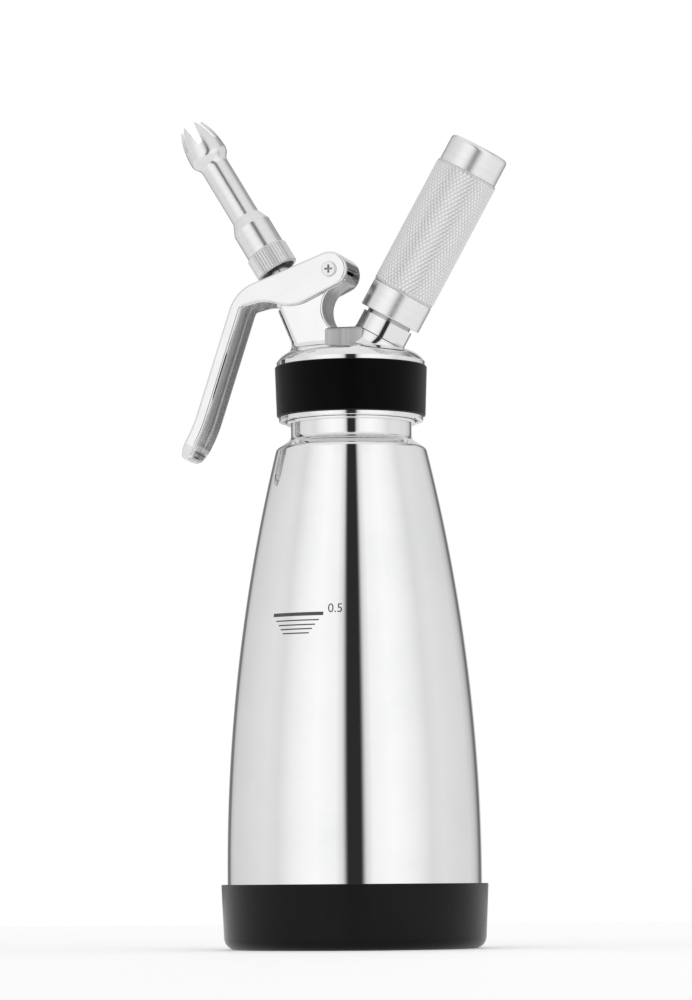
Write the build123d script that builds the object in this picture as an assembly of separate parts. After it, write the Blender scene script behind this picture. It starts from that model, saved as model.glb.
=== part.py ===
from build123d import *
from math import acos, atan2, cos, hypot, radians, sin, sqrt, tan
import os

# Whipped cream dispenser: a steel bottle in a rubber foot, a screwed head with a squeeze lever
# that opens a spring-loaded valve, a fluted nozzle on the valve stem, and a gas charger holder.
# Millimetres, +Z up, origin on the bottle axis at the face the foot stands on. The valve axis
# leans to -X and the charger axis to +X, and both cross the bottle axis at CROSS_Z.

# ---- Fits and clearances ----
SEAT_GAP = 0.03          # a seat between two pieces that do not move on each other
RUN_GAP = 0.05           # radial clearance of a shaft that turns or slides in its bore
BODY_GAP = 0.3           # space between pieces that move past each other
FACE_GAP = 0.1           # a soft seal just off the face that it closes on

# ---- Rubber foot ----
FOOT_WALL = 2.1          # at the top, outside the bottle
FOOT_H = 21.8
FOOT_DRAFT = 1.0         # how much narrower the foot is at the bottom than at the top
FOOT_CORNER_R = 4.0
FOOT_FLOOR = 2.5

# ---- Bottle ----
BODY_R = 42.9
BODY_ARC_R = 605.0       # the long curve of the body, upright where it starts
BODY_ARC_Z = 25.0
BASE_CORNER_R = 6.0
PUNT_R = 30.0            # the bottom is pushed up inside this radius
PUNT_H = 1.6
BOTTLE_WALL = 1.2
SHOULDER_Z = 169.2
SHOULDER_R = 2.0
NECK_R = 20.55
NECK_Z = 171.6
NECK_FILLET = 1.5
NECK_WALL = 1.4
BEAD_R = 22.3
BEAD_Z = 176.6
BEAD_H = 1.8
BEAD_ROUND = 0.6
THREAD_R = 21.4          # the neck's male thread, outside
RIM_Z = 191.0
RIM_CHAMFER = 0.6

# ---- Head shell ----
SKIRT_R = 24.6
SKIRT_Z = 178.3
SKIRT_LIP_H = 1.6
SKIRT_ROUND = 0.3
BEAD_SPACE = 0.55        # room between the bead and the skirt that covers it
SEAT_WALL = 0.55         # between the skirt's bore and the grip
GRIP_SEAT_R = BEAD_R + BEAD_SPACE + SEAT_WALL
DOME_R = 25.3
DOME_EDGE_Z = 197.15
DOME_EDGE_H = 1.35
DOME_TOP_R = 18.6
DOME_TOP_Z = 202.6
DOME_RISE = 0.9
CAVITY_R = 18.2
CAVITY_Z = 198.4
CAVITY_FILLET = 2.5
GASKET_H = 2.0
GASKET_WIDTH = 2.6

# ---- Collar grip ----
GRIP_TOP_WALL = 2.5
GRIP_BOTTOM_WALL = 1.9
GRIP_ROUND = 0.6

# ---- Inclined axes ----
CROSS_Z = 188.8
VALVE_TILT = 31.0
CHARGER_TILT = 29.5

# ---- Post: the upright that carries the valve and the lever pivot (X, Z in the head plane) ----
POST_T = 15.6
POST_FOOT_X = -17.5
POST_CORNER_R = 3.4
POST_LEFT_R = 6.5        # from the valve axis to the post's left corner at its top face
POST_TOP = 36.0          # along the valve axis
NOSE_R = 3.7
NOSE_DROP = 25.0         # of the nose's front end, below the pivot's height, in degrees
ARCH_R = 8.9             # the open arch between the post and the charger boss
ARCH_X = 1.1
ARCH_Z = 216.7
LIP_X = 0.3
LIP_T = 0.9
PLINTH_Z = 209.9
PLINTH_T = 11.6
PLINTH_END_X = 9.0
POST_FILLET = 3.5        # where the post flows into the dome
ARCH_EDGE_R = 0.8

# ---- Lever (X, Z in the head plane) ----
PIVOT_X = -4.9
PIVOT_Z = 229.7
LEVER_PLATE = 1.6
LEVER_PLAY = 0.3         # between each plate and the post
LEVER_W = POST_T + 2 * (LEVER_PLAY + LEVER_PLATE)
LEVER_WEB = 1.8
LEVER_END_R = 6.1
LEVER_SLOPE = 20.5       # of the arm's top, rising to the pivot
LEVER_ARM = 33.3         # from the pivot to where the arm's and handle's outer lines meet
HANDLE_LEAN = 18.3       # of the handle, from upright
STRAIGHT_DOWN = 270      # as an angle in degrees
BEND_R = 14.0
HANDLE_LEN = 48.5        # from where the lines meet to the middle of the outward sweep
SWEEP_LEN = 11.5         # from there to the tip
SWEEP_R = 50.0
SWEEP_ANGLE = 10.5
HANDLE_DEPTH = 4.0
HEEL_DROP = 4.3          # from where the lines meet down to the inner corner of arm and handle
HEEL_ROUND = 2.0
BROW_X = -28.5           # where the arm's lower edge starts down to the belly
BROW_Z = 219.9
BROW_R = 12.0
BELLY_X = -17.8
BELLY_Z = 217.0
BELLY_R = 14.0
TIP_ROUND = 6.5
LEVER_EDGE_R = 1.0
WRAP_ANGLE = 5.0         # the web ends this far above the pivot's height
STEM_SLOT_PLAY = 0.5
STEM_SLOT_LEN = 2.2      # extra length of the slot, for the lever's swing
STEM_SLOT_SHIFT = 0.8

# ---- Pivot pin and screw ----
PIN_R = 1.5
PIVOT_HEAD_R = 2.6
PIVOT_HEAD_H = 1.5
PIVOT_HEAD_SUNK = 0.8
PIVOT_SCREW_R = 0.9
PIVOT_SCREW_LEN = 8.0
CROSS_W = 0.7
CROSS_LEN = 2.8
CROSS_DEPTH = 0.8

# ---- Valve, along the valve axis from the crossing point ----
STEM_R = 3.5
STEM_BORE_R = 2.0
STEM_CHAMFER = 0.4
STEM_FOOT = 1.4
STEM_TOP = 59.5
PORT_R = 1.3
PORT_COUNT = 4
PORT_AT = 9.7
SEAT_AT = 7.5
SEAT_BOSS_R = 7.0
SEAT_BORE_R = 4.5
CHAMBER_TOP = 12.0
SEAL_R = 5.8
SEAL_T = 2.0
SEAL_WASHER_R = 5.4
SEAL_WASHER_T = 1.0
SEAL_NUT_FLAT_R = 4.4    # half across flats
SEAL_NUT_H = 2.4
BUSH_R = 4.6
ORING_WIRE = 1.0
SPRING_WELL_R = 5.3
SPRING_SEAT_AT = 23.8
SPRING_WASHER_T = 0.6
SPRING_R = 4.45
SPRING_WIRE = 0.9
SPRING_TURNS = 6
CAP_R = 6.7
CAP_TOP = 43.6
CAP_ROOF = 1.8
CAP_SKIRT = 3.0
CAP_ROUND = 1.2

# ---- Nozzle, along the valve axis ----
RING_R = 7.4
RING_WALL = 1.2
RING_AT = 49.5
RING_H = 8.1
RING_CHAMFER = 0.45
TIP_SPIGOT_H = 4.6
TIP_BASE_R = 6.8
TIP_BASE_H = 9.8
TIP_CONE_H = 4.1
TIP_TUBE_R = 4.95
TIP_TUBE_H = 21.1
BULB_R = 6.8
BULB_H = 4.6           # from the tube to the widest place
TIP_MOUTH_R = 4.1
MOUTH_LEAN = 0.5         # how far the bulb closes in per millimetre, at its mouth
MOUTH_BEVEL = 0.35
MOUTH_H = 12.0           # from the widest place to the mouth
TIP_WALL = 1.0
PRONG_WALL = 0.7
TIP_FEED_R = 2.6
PRONGS = 6
SLOT_TURN = 7.0          # of the first slot round the nozzle
SLOT_DEPTH = 8.4
SLOT_BOTTOM_R = 1.2
SLOT_TOP_HALF = 1.85

# ---- Charger side, along the charger axis from the crossing point ----
BOSS_R = 9.05
BOSS_FOOT = 8.0
BOSS_TOP = 26.9
SOCKET_FLOOR = 19.5
SOCKET_SPIGOT_R = 6.5
SOCKET_NECK_R = 8.0
SOCKET_NECK_H = 1.5
SOCKET_THREAD_R = 9.35
SOCKET_TOP = 35.5
SOCKET_BORE_R = 4.9
SOCKET_BORE_AT = 24.0
SOCKET_CONE_AT = 31.0
SOCKET_MOUTH_R = 7.7
SOCKET_CHAMFER = 0.5
PIN_SEAL_T = 1.7
PIERCE_R = 1.2
PIERCE_TIP = 28.6
PIERCE_POINT_H = 1.8
PIERCE_POINT_R = 0.1
PIERCE_BORE_R = 0.5
PIERCE_FLANGE_R = 2.6
PIERCE_FLANGE_H = 2.0
GAS_PORT_R = 0.95
CHECK_POCKET_R = 2.8
CHECK_POCKET_TOP = 13.0
CHECK_DISC_T = 0.9
CHECK_STEM_R = 0.7
CHECK_STEM_H = 3.0
HOLDER_MOUTH = 28.1
HOLDER_LEN = 65.5
HOLDER_BAND_R = 10.9
HOLDER_BAND_H = 9.4
HOLDER_GRIP_R = 11.1
HOLDER_GRIP_H = 46.7
HOLDER_END_R = 10.45
HOLDER_END_ROUND = 1.4
HOLDER_END_WALL = 2.4
HOLDER_BORE_R = 9.15
HOLDER_BORE_CORNER = 2.5
HOLDER_RELIEF = 1.0      # the holder's thread ends this far past the socket
CAPSULE_R = 8.9
CAPSULE_NECK_R = 3.9
CAPSULE_NECK_H = 5.0
CAPSULE_SHOULDER_H = 9.5
CAPSULE_SHOULDER_SLOPE = 0.7   # how fast the shoulder widens from the neck
CAPSULE_WALL = 1.3
CAPSULE_HOLE_R = 1.5

VALVE_FRAME = Pos(0, 0, CROSS_Z) * Rot(0, -VALVE_TILT, 0)
CHARGER_FRAME = Pos(0, 0, CROSS_Z) * Rot(0, CHARGER_TILT, 0)


# ---- Helpers ----
def turned(outline):
    """Turn a closed outline, drawn as radius and height, about the Z axis."""
    return revolve(Plane.XZ * outline, Axis.Z)


def outline_of(*points):
    return make_face(Polyline(*points, close=True))


def rounded(face, radius, *points):
    """Round the corners of a flat outline that lie at the given points."""
    corners = [face.vertices().sort_by_distance(Vector(*point))[0] for point in points]
    return fillet(corners, radius)


def disc(radius, low, high):
    """A plain cylinder about Z from height low to height high."""
    return Pos(0, 0, low) * Cylinder(radius, high - low, align=(Align.CENTER, Align.CENTER, Align.MIN))


def ring(inner, outer, low, high):
    return disc(outer, low, high) - disc(inner, low, high)


def side_edges(block, half_width, *points):
    """Edges of a flat-sided block that lie nearest to these points of the head plane, both sides."""
    return [block.edges().sort_by_distance(Vector(x, side * half_width, z))[0]
            for x, z in points for side in (-1, 1)]


def across_pivot(radius, near, far):
    """A cylinder along Y at the pivot, from y = near to y = far."""
    return Pos(PIVOT_X, far, PIVOT_Z) * Rot(90, 0, 0) * disc(radius, 0, far - near)


def body_radius(z, inset=0.0):
    """Radius of the bottle's long curve at height z."""
    return BODY_R - BODY_ARC_R + sqrt((BODY_ARC_R - inset) ** 2 - (z - BODY_ARC_Z) ** 2)


def lean(angle, along, across=0.0):
    """Point in the head plane, from the crossing point along and across an axis at this tilt."""
    a = radians(angle)
    return (along * sin(a) + across * cos(a), CROSS_Z + along * cos(a) - across * sin(a))


def polar(start, angle, length):
    """Point at a length and an angle, in degrees from +X towards +Z, from a start point."""
    a = radians(angle)
    return (start[0] + length * cos(a), start[1] + length * sin(a))


# ---- Bottle and foot ----
def bottle_section(inset, neck_r, top_z):
    """Half section of the bottle up to the neck, moved inward by the inset."""
    floor_z = FOOT_FLOOR + inset
    corner_z = SHOULDER_Z - inset
    corner_r = body_radius(corner_z, inset)
    middle_z = (BODY_ARC_Z + corner_z) / 2
    side_r = BODY_R - inset
    lines = Polyline((corner_r, corner_z), (neck_r, NECK_Z - inset), (neck_r, top_z), (0, top_z),
                     (0, floor_z + PUNT_H), (PUNT_R, floor_z), (side_r, floor_z), (side_r, BODY_ARC_Z))
    curve = ThreePointArc((side_r, BODY_ARC_Z), (body_radius(middle_z, inset), middle_z),
                          (corner_r, corner_z))
    face = make_face(lines + curve)
    face = rounded(face, BASE_CORNER_R - inset, (side_r, floor_z))
    face = rounded(face, SHOULDER_R - inset, (corner_r, corner_z))
    return rounded(face, NECK_FILLET + inset, (neck_r, NECK_Z - inset))


def make_bottle():
    outside = turned(bottle_section(0, NECK_R, BEAD_Z))
    bead_top = BEAD_Z + BEAD_H
    neck = outline_of((0, BEAD_Z), (BEAD_R, BEAD_Z), (BEAD_R, bead_top), (THREAD_R, bead_top),
                      (THREAD_R, RIM_Z - RIM_CHAMFER), (THREAD_R - RIM_CHAMFER, RIM_Z), (0, RIM_Z))
    neck = rounded(neck, BEAD_ROUND, (BEAD_R, BEAD_Z), (BEAD_R, bead_top))
    inside = turned(bottle_section(BOTTLE_WALL, NECK_R - NECK_WALL, RIM_Z))
    return outside + turned(neck) - inside


def make_base_foot():
    top_r = BODY_R + FOOT_WALL
    bottom_r = top_r - FOOT_DRAFT
    cup_r = BODY_R + SEAT_GAP
    face = outline_of((0, 0), (bottom_r, 0), (top_r, FOOT_H), (cup_r, FOOT_H), (cup_r, FOOT_FLOOR),
                      (0, FOOT_FLOOR))
    face = rounded(face, FOOT_CORNER_R, (bottom_r, 0))
    face = rounded(face, BASE_CORNER_R, (cup_r, FOOT_FLOOR))
    return turned(face)


# ---- Head body ----
def head_outside():
    """The screwed dome, solid inside: skirt lip, grip seat, dome edge, shoulder and crown."""
    lip_top = SKIRT_Z + SKIRT_LIP_H
    edge_top = DOME_EDGE_Z + DOME_EDGE_H
    summit = (0, DOME_TOP_Z + DOME_RISE)
    walls = Polyline(summit, (0, SKIRT_Z), (SKIRT_R, SKIRT_Z), (SKIRT_R, lip_top), (GRIP_SEAT_R, lip_top),
                     (GRIP_SEAT_R, DOME_EDGE_Z), (DOME_R, DOME_EDGE_Z), (DOME_R, edge_top))
    crown = TangentArc(summit, (DOME_TOP_R, DOME_TOP_Z), tangent=(1, 0))
    shoulder = TangentArc((DOME_TOP_R, DOME_TOP_Z), (DOME_R, edge_top), tangent=crown % 1)
    face = make_face(walls + shoulder + crown)
    return turned(rounded(face, SKIRT_ROUND, (SKIRT_R, SKIRT_Z), (SKIRT_R, lip_top)))


def head_cavity():
    """The space inside the dome: room over the bottle, gasket seat, thread bore and skirt bore."""
    bore_r = THREAD_R + BODY_GAP
    skirt_bore_r = BEAD_R + BEAD_SPACE
    gasket_top = RIM_Z + FACE_GAP + GASKET_H
    skirt_bore_top = BEAD_Z + BEAD_H + BEAD_SPACE
    face = outline_of((0, CAVITY_Z), (CAVITY_R, CAVITY_Z), (CAVITY_R, gasket_top), (bore_r, gasket_top),
                      (bore_r, skirt_bore_top), (skirt_bore_r, skirt_bore_top), (skirt_bore_r, SKIRT_Z),
                      (0, SKIRT_Z))
    return turned(rounded(face, CAVITY_FILLET, (CAVITY_R, CAVITY_Z)))


def roof_middle():
    """Height inside the dome's roof where the post and the plinth start."""
    return (CAVITY_Z + DOME_TOP_Z) / 2


def post_outline():
    """Side outline of the post: leaning back, top face, nose round the pivot, lip and arch."""
    foot = (POST_FOOT_X, roof_middle())
    top_left = lean(-VALVE_TILT, POST_TOP, -POST_LEFT_R)
    top_right = lean(-VALVE_TILT, POST_TOP, POST_LEFT_R)
    pivot = (PIVOT_X, PIVOT_Z)
    nose_left = polar(pivot, 180 + NOSE_DROP, NOSE_R)
    nose_top = polar(pivot, 90 + LEVER_SLOPE, NOSE_R)
    nose_back = polar(pivot, 0, NOSE_R)
    lip_start = (LIP_X, ARCH_Z + ARCH_R + LIP_T)
    lip_end = (LIP_X, ARCH_Z + sqrt(ARCH_R ** 2 - (LIP_X - ARCH_X) ** 2))
    arch_left = (ARCH_X - ARCH_R, ARCH_Z)
    arch_end_x = ARCH_X - sqrt(ARCH_R ** 2 - (PLINTH_Z - ARCH_Z) ** 2)
    back = Polyline((arch_end_x, PLINTH_Z), (arch_end_x, roof_middle()), foot, top_left, top_right, nose_left)
    nose = ThreePointArc(nose_left, nose_top, nose_back)
    lip = Polyline(nose_back, lip_start, lip_end)
    arch = ThreePointArc(lip_end, arch_left, (arch_end_x, PLINTH_Z))
    return make_face(back + nose + lip + arch), foot, top_left, arch_left


def make_post():
    outline, foot, top_left, arch_left = post_outline()
    post = extrude(Plane.XZ * outline, POST_T / 2, both=True)
    back = ((foot[0] + top_left[0]) / 2, (foot[1] + top_left[1]) / 2)
    post = fillet(side_edges(post, POST_T / 2, back), POST_CORNER_R)
    return fillet(side_edges(post, POST_T / 2, arch_left), ARCH_EDGE_R)


def grown_from(body, piece, radius):
    """Join a piece to a body, with a fillet along the line where they meet."""
    joined = body + piece
    return fillet(new_edges(body, piece, combined=joined), radius)


def make_head_body():
    valve_roof = (DOME_TOP_Z - CROSS_Z) / cos(radians(VALVE_TILT))
    charger_roof = (CAVITY_Z - CROSS_Z) / cos(radians(CHARGER_TILT))
    plinth_x = ARCH_X - ARCH_R
    plinth = Box(PLINTH_END_X - plinth_x, PLINTH_T, PLINTH_Z - roof_middle(),
                 align=(Align.MIN, Align.CENTER, Align.MIN))
    body = grown_from(head_outside(), make_post(), POST_FILLET)
    body += CHARGER_FRAME * disc(BOSS_R, BOSS_FOOT, BOSS_TOP)
    body += Pos(plinth_x, 0, roof_middle()) * plinth
    body -= head_cavity()
    body += VALVE_FRAME * disc(SEAT_BOSS_R, SEAT_AT, valve_roof)

    chamber = disc(SEAT_BORE_R, STEM_FOOT, CHAMBER_TOP)
    guide = disc(BUSH_R + SEAT_GAP, CHAMBER_TOP, SPRING_SEAT_AT)
    well = disc(SPRING_WELL_R, SPRING_SEAT_AT, POST_TOP + SPRING_WELL_R)
    body -= VALVE_FRAME * (chamber + guide + well)

    socket_bore = disc(SOCKET_SPIGOT_R + SEAT_GAP, SOCKET_FLOOR, BOSS_TOP)
    gas_port = disc(GAS_PORT_R, CHECK_POCKET_TOP, BOSS_TOP)
    check_pocket = disc(CHECK_POCKET_R, charger_roof - CHECK_POCKET_R, CHECK_POCKET_TOP)
    body -= CHARGER_FRAME * (socket_bore + gas_port + check_pocket)
    return body - across_pivot(PIN_R + RUN_GAP, -POST_T / 2, POST_T / 2)


# ---- Pieces that stay on the head ----
def make_collar_grip():
    low = SKIRT_Z + SKIRT_LIP_H + SEAT_GAP
    high = DOME_EDGE_Z - SEAT_GAP
    inner = GRIP_SEAT_R + SEAT_GAP
    outer_low = (GRIP_SEAT_R + GRIP_BOTTOM_WALL, low)
    outer_high = (GRIP_SEAT_R + GRIP_TOP_WALL, high)
    face = outline_of((inner, low), outer_low, outer_high, (inner, high))
    return turned(rounded(face, GRIP_ROUND, outer_low, outer_high))


def make_head_gasket():
    outer = THREAD_R + BODY_GAP - SEAT_GAP
    low = RIM_Z + FACE_GAP
    return ring(outer - GASKET_WIDTH, outer, low, low + GASKET_H - SEAT_GAP)


def make_guide_bush():
    top = SPRING_SEAT_AT - ORING_WIRE - 2 * SEAT_GAP
    return VALVE_FRAME * ring(STEM_R + RUN_GAP, BUSH_R, CHAMBER_TOP, top)


def make_stem_oring():
    middle = STEM_R + RUN_GAP / 2 + ORING_WIRE / 2
    at = SPRING_SEAT_AT - SEAT_GAP - ORING_WIRE / 2
    return VALVE_FRAME * (Pos(0, 0, at) * Torus(middle, ORING_WIRE / 2))


def make_spring_washer():
    return VALVE_FRAME * ring(STEM_R + RUN_GAP, SPRING_WELL_R - SEAT_GAP, SPRING_SEAT_AT,
                              SPRING_SEAT_AT + SPRING_WASHER_T)


def make_valve_spring():
    """Coil spring with ends ground flat, from the washer to the roof of the cap."""
    low = SPRING_SEAT_AT + SPRING_WASHER_T + SEAT_GAP
    high = CAP_TOP - CAP_ROOF - SEAT_GAP
    length = high - low
    pitch = length / SPRING_TURNS
    path = Helix(pitch, length + 2 * SPRING_WIRE, SPRING_R, center=(0, 0, low - SPRING_WIRE))
    wire = sweep(Plane(path @ 0, z_dir=path % 0) * Circle(SPRING_WIRE / 2), path, is_frenet=True)
    return VALVE_FRAME * (wire & disc(SPRING_R + SPRING_WIRE, low, high))


# ---- Valve: slides in the bush ----
def make_valve_stem():
    ports = [Rot(0, 0, (i + 0.5) * 360 / PORT_COUNT) * Pos(0, 0, PORT_AT) * Rot(0, 90, 0)
             * Cylinder(PORT_R, STEM_R * 2, align=(Align.CENTER, Align.CENTER, Align.MIN))
             for i in range(PORT_COUNT)]
    stem = disc(STEM_R, STEM_FOOT, STEM_TOP)
    stem = chamfer(stem.edges().filter_by(GeomType.CIRCLE), STEM_CHAMFER)
    return VALVE_FRAME * (stem - disc(STEM_BORE_R, PORT_AT - PORT_R, STEM_TOP) - ports)


def make_valve_seal():
    top = SEAT_AT - FACE_GAP
    return VALVE_FRAME * ring(STEM_R + SEAT_GAP, SEAL_R, top - SEAL_T, top)


def seal_washer_top():
    return SEAT_AT - FACE_GAP - SEAL_T - SEAT_GAP


def make_seal_washer():
    top = seal_washer_top()
    return VALVE_FRAME * ring(STEM_R + SEAT_GAP, SEAL_WASHER_R, top - SEAL_WASHER_T, top)


def make_seal_nut():
    top = seal_washer_top() - SEAL_WASHER_T - SEAT_GAP
    hexagon = RegularPolygon(SEAL_NUT_FLAT_R, 6, major_radius=False)
    nut = Pos(0, 0, top - SEAL_NUT_H) * extrude(hexagon, SEAL_NUT_H)
    return VALVE_FRAME * (nut - disc(STEM_R + SEAT_GAP, top - SEAL_NUT_H, top))


def make_spring_cap():
    """Inverted cup on the stem: the lever's web presses on its roof."""
    low = CAP_TOP - CAP_ROOF - CAP_SKIRT
    face = outline_of((STEM_R + SEAT_GAP, CAP_TOP), (CAP_R, CAP_TOP), (CAP_R, low), (SPRING_WELL_R, low),
                      (SPRING_WELL_R, CAP_TOP - CAP_ROOF), (STEM_R + SEAT_GAP, CAP_TOP - CAP_ROOF))
    face = rounded(face, CAP_ROUND, (CAP_R, CAP_TOP))
    return VALVE_FRAME * turned(face)


# ---- Lever and its pivot ----
def tangent_point(point, centre, radius):
    """Where the line from a point touches a circle, on the circle's lower right side."""
    dx, dz = centre[0] - point[0], centre[1] - point[1]
    far = hypot(dx, dz)
    turn = acos(radius / far)
    back = atan2(-dz, -dx) + turn
    return (centre[0] + radius * cos(back), centre[1] + radius * sin(back))


def lever_line(inset):
    """Arm start, bend, sweep and tip on the lever's outer line, moved inward by the inset."""
    down_arm = 180 + LEVER_SLOPE
    down_handle = STRAIGHT_DOWN - HANDLE_LEAN
    down_tip = down_handle - SWEEP_ANGLE
    pivot = (PIVOT_X, PIVOT_Z)
    start = polar(pivot, down_arm - 90, LEVER_END_R - inset)
    bend = polar(polar(pivot, down_arm - 90, LEVER_END_R), down_arm, LEVER_ARM)
    sweep_at = polar(bend, down_handle, HANDLE_LEN)
    tip = polar(sweep_at, down_tip, SWEEP_LEN)
    half_bend = radians((down_handle - down_arm) / 2)
    half_sweep = radians(SWEEP_ANGLE / 2)
    bend = polar(bend, (down_arm + down_handle) / 2 + 90, inset / cos(half_bend))
    sweep_at = polar(sweep_at, (down_handle + down_tip) / 2 + 90, inset / cos(half_sweep))
    tip = polar(tip, down_tip + 90, inset)
    return start, bend, sweep_at, tip


def lever_blank():
    """The lever's side outline, extruded to its width and rounded outside."""
    start, bend, sweep_at, tip = lever_line(0)
    inner_sweep, inner_tip = lever_line(HANDLE_DEPTH)[2:]
    handle_inner = polar(inner_sweep, 90 - HANDLE_LEAN, HANDLE_LEN - HEEL_DROP)
    brow = (BROW_X, BROW_Z)
    belly = (BELLY_X, BELLY_Z)
    touch = tangent_point(belly, (PIVOT_X, PIVOT_Z), LEVER_END_R)
    face = outline_of(start, bend, sweep_at, tip, inner_tip, inner_sweep, handle_inner, brow, belly,
                      touch, (PIVOT_X, PIVOT_Z))
    face = rounded(face, BEND_R, bend)
    face = rounded(face, SWEEP_R, sweep_at)
    face = rounded(face, SWEEP_R - HANDLE_DEPTH, inner_sweep)
    face = rounded(face, HEEL_ROUND, handle_inner)
    face = rounded(face, BROW_R, brow)
    face = rounded(face, BELLY_R, belly)
    face += Pos(PIVOT_X, PIVOT_Z) * Circle(LEVER_END_R)
    blank = extrude(Plane.XZ * face, LEVER_W / 2, both=True)
    end_middle = ((tip[0] + inner_tip[0]) / 2, (tip[1] + inner_tip[1]) / 2)
    return fillet(side_edges(blank, LEVER_W / 2, end_middle), TIP_ROUND)


def lever_channel():
    """The space inside the lever: between its plates, under its web."""
    start, bend, sweep_at, tip = lever_line(LEVER_WEB)
    down_tip = STRAIGHT_DOWN - HANDLE_LEAN - SWEEP_ANGLE
    end = polar(tip, down_tip + 180, LEVER_WEB)
    beyond = polar(end, down_tip + 90, LEVER_W)
    far_x = PIVOT_X + LEVER_W
    wrap_end = (far_x, PIVOT_Z + LEVER_W * tan(radians(WRAP_ANGLE)))
    face = outline_of(start, bend, sweep_at, end, beyond, (far_x, beyond[1]), wrap_end, (PIVOT_X, PIVOT_Z))
    face = rounded(face, BEND_R - LEVER_WEB, bend)
    face = rounded(face, SWEEP_R - LEVER_WEB, sweep_at)
    face += Pos(PIVOT_X, PIVOT_Z) * Circle(LEVER_END_R - LEVER_WEB)
    half = LEVER_W / 2 - LEVER_PLATE
    channel = extrude(Plane.XZ * face, half, both=True)
    end_middle = ((end[0] + beyond[0]) / 2, (end[1] + beyond[1]) / 2)
    return fillet(side_edges(channel, half, end_middle), TIP_ROUND - LEVER_PLATE)


def make_lever():
    blank = lever_blank()
    sides = blank.edges().filter_by(lambda e: abs(abs(e.center().Y) - LEVER_W / 2) < 0.001)
    blank = fillet(sides, LEVER_EDGE_R)
    slot = SlotCenterToCenter(STEM_SLOT_LEN, 2 * (STEM_R + STEM_SLOT_PLAY))
    slot = VALVE_FRAME * Pos(STEM_SLOT_SHIFT, 0, CAP_TOP - CAP_ROOF) * extrude(slot, RING_AT - CAP_TOP)
    lever = blank - lever_channel() - slot
    pin_hole = across_pivot(PIN_R + SEAT_GAP, -LEVER_W, LEVER_W)
    head_seat = LEVER_W / 2 - PIVOT_HEAD_SUNK
    near_seat = across_pivot(PIVOT_HEAD_R + SEAT_GAP, -LEVER_W, -head_seat)
    far_seat = across_pivot(PIVOT_HEAD_R + SEAT_GAP, head_seat, LEVER_W)
    return lever - pin_hole - near_seat - far_seat


def pivot_head(side):
    """Low round screw head with a cross recess, sunk in a lever plate; side is -1 near, 1 far."""
    seat = LEVER_W / 2 - PIVOT_HEAD_SUNK + SEAT_GAP
    head = disc(PIVOT_HEAD_R, 0, PIVOT_HEAD_H)
    head = fillet(head.edges().sort_by(Axis.Z)[-1], PIVOT_HEAD_H / 3)
    for turn in (0, 90):
        cross = Pos(0, 0, PIVOT_HEAD_H) * Rot(0, 0, turn) * Box(CROSS_LEN, CROSS_W, 2 * CROSS_DEPTH)
        head -= cross
    return Pos(PIVOT_X, side * seat, PIVOT_Z) * Rot(-90 * side, 0, 0) * head


def make_pivot_pin():
    """Far half of the pivot: a headed barrel that the lever turns on, bored for the screw."""
    seat = LEVER_W / 2 - PIVOT_HEAD_SUNK
    barrel = across_pivot(PIN_R, -seat, seat + 2 * SEAT_GAP)
    bore = across_pivot(PIVOT_SCREW_R + SEAT_GAP, -LEVER_W, -seat + PIVOT_SCREW_LEN + BODY_GAP)
    return barrel + pivot_head(1) - bore


def make_pivot_screw():
    seat = LEVER_W / 2 - PIVOT_HEAD_SUNK
    shank = across_pivot(PIVOT_SCREW_R, -seat - 2 * SEAT_GAP, -seat + PIVOT_SCREW_LEN)
    return shank + pivot_head(-1)


# ---- Nozzle: screwed on the stem ----
def make_nozzle_ring():
    low, high = RING_AT, RING_AT + RING_H
    body = disc(RING_R, low, high)
    body = chamfer(body.edges().filter_by(GeomType.CIRCLE), RING_CHAMFER)
    return VALVE_FRAME * (body - disc(RING_R - RING_WALL, low, high))


def tip_start():
    return RING_AT + RING_H + SEAT_GAP


def bulb_curve(inset, mouth_inset, mouth_z):
    """The nozzle's bulb: swelling from the tube, and closing to the mouth on a thinner wall."""
    start_z = tip_start() + TIP_BASE_H + TIP_CONE_H + TIP_TUBE_H
    widest = (BULB_R - mouth_inset, start_z + BULB_H)
    swell = Spline((TIP_TUBE_R - inset, start_z), widest, tangents=[(0, 1), (0, 1)])
    close = Spline(widest, (TIP_MOUTH_R - mouth_inset, mouth_z), tangents=[(0, 1), (-MOUTH_LEAN, 1)])
    return swell + close


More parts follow.
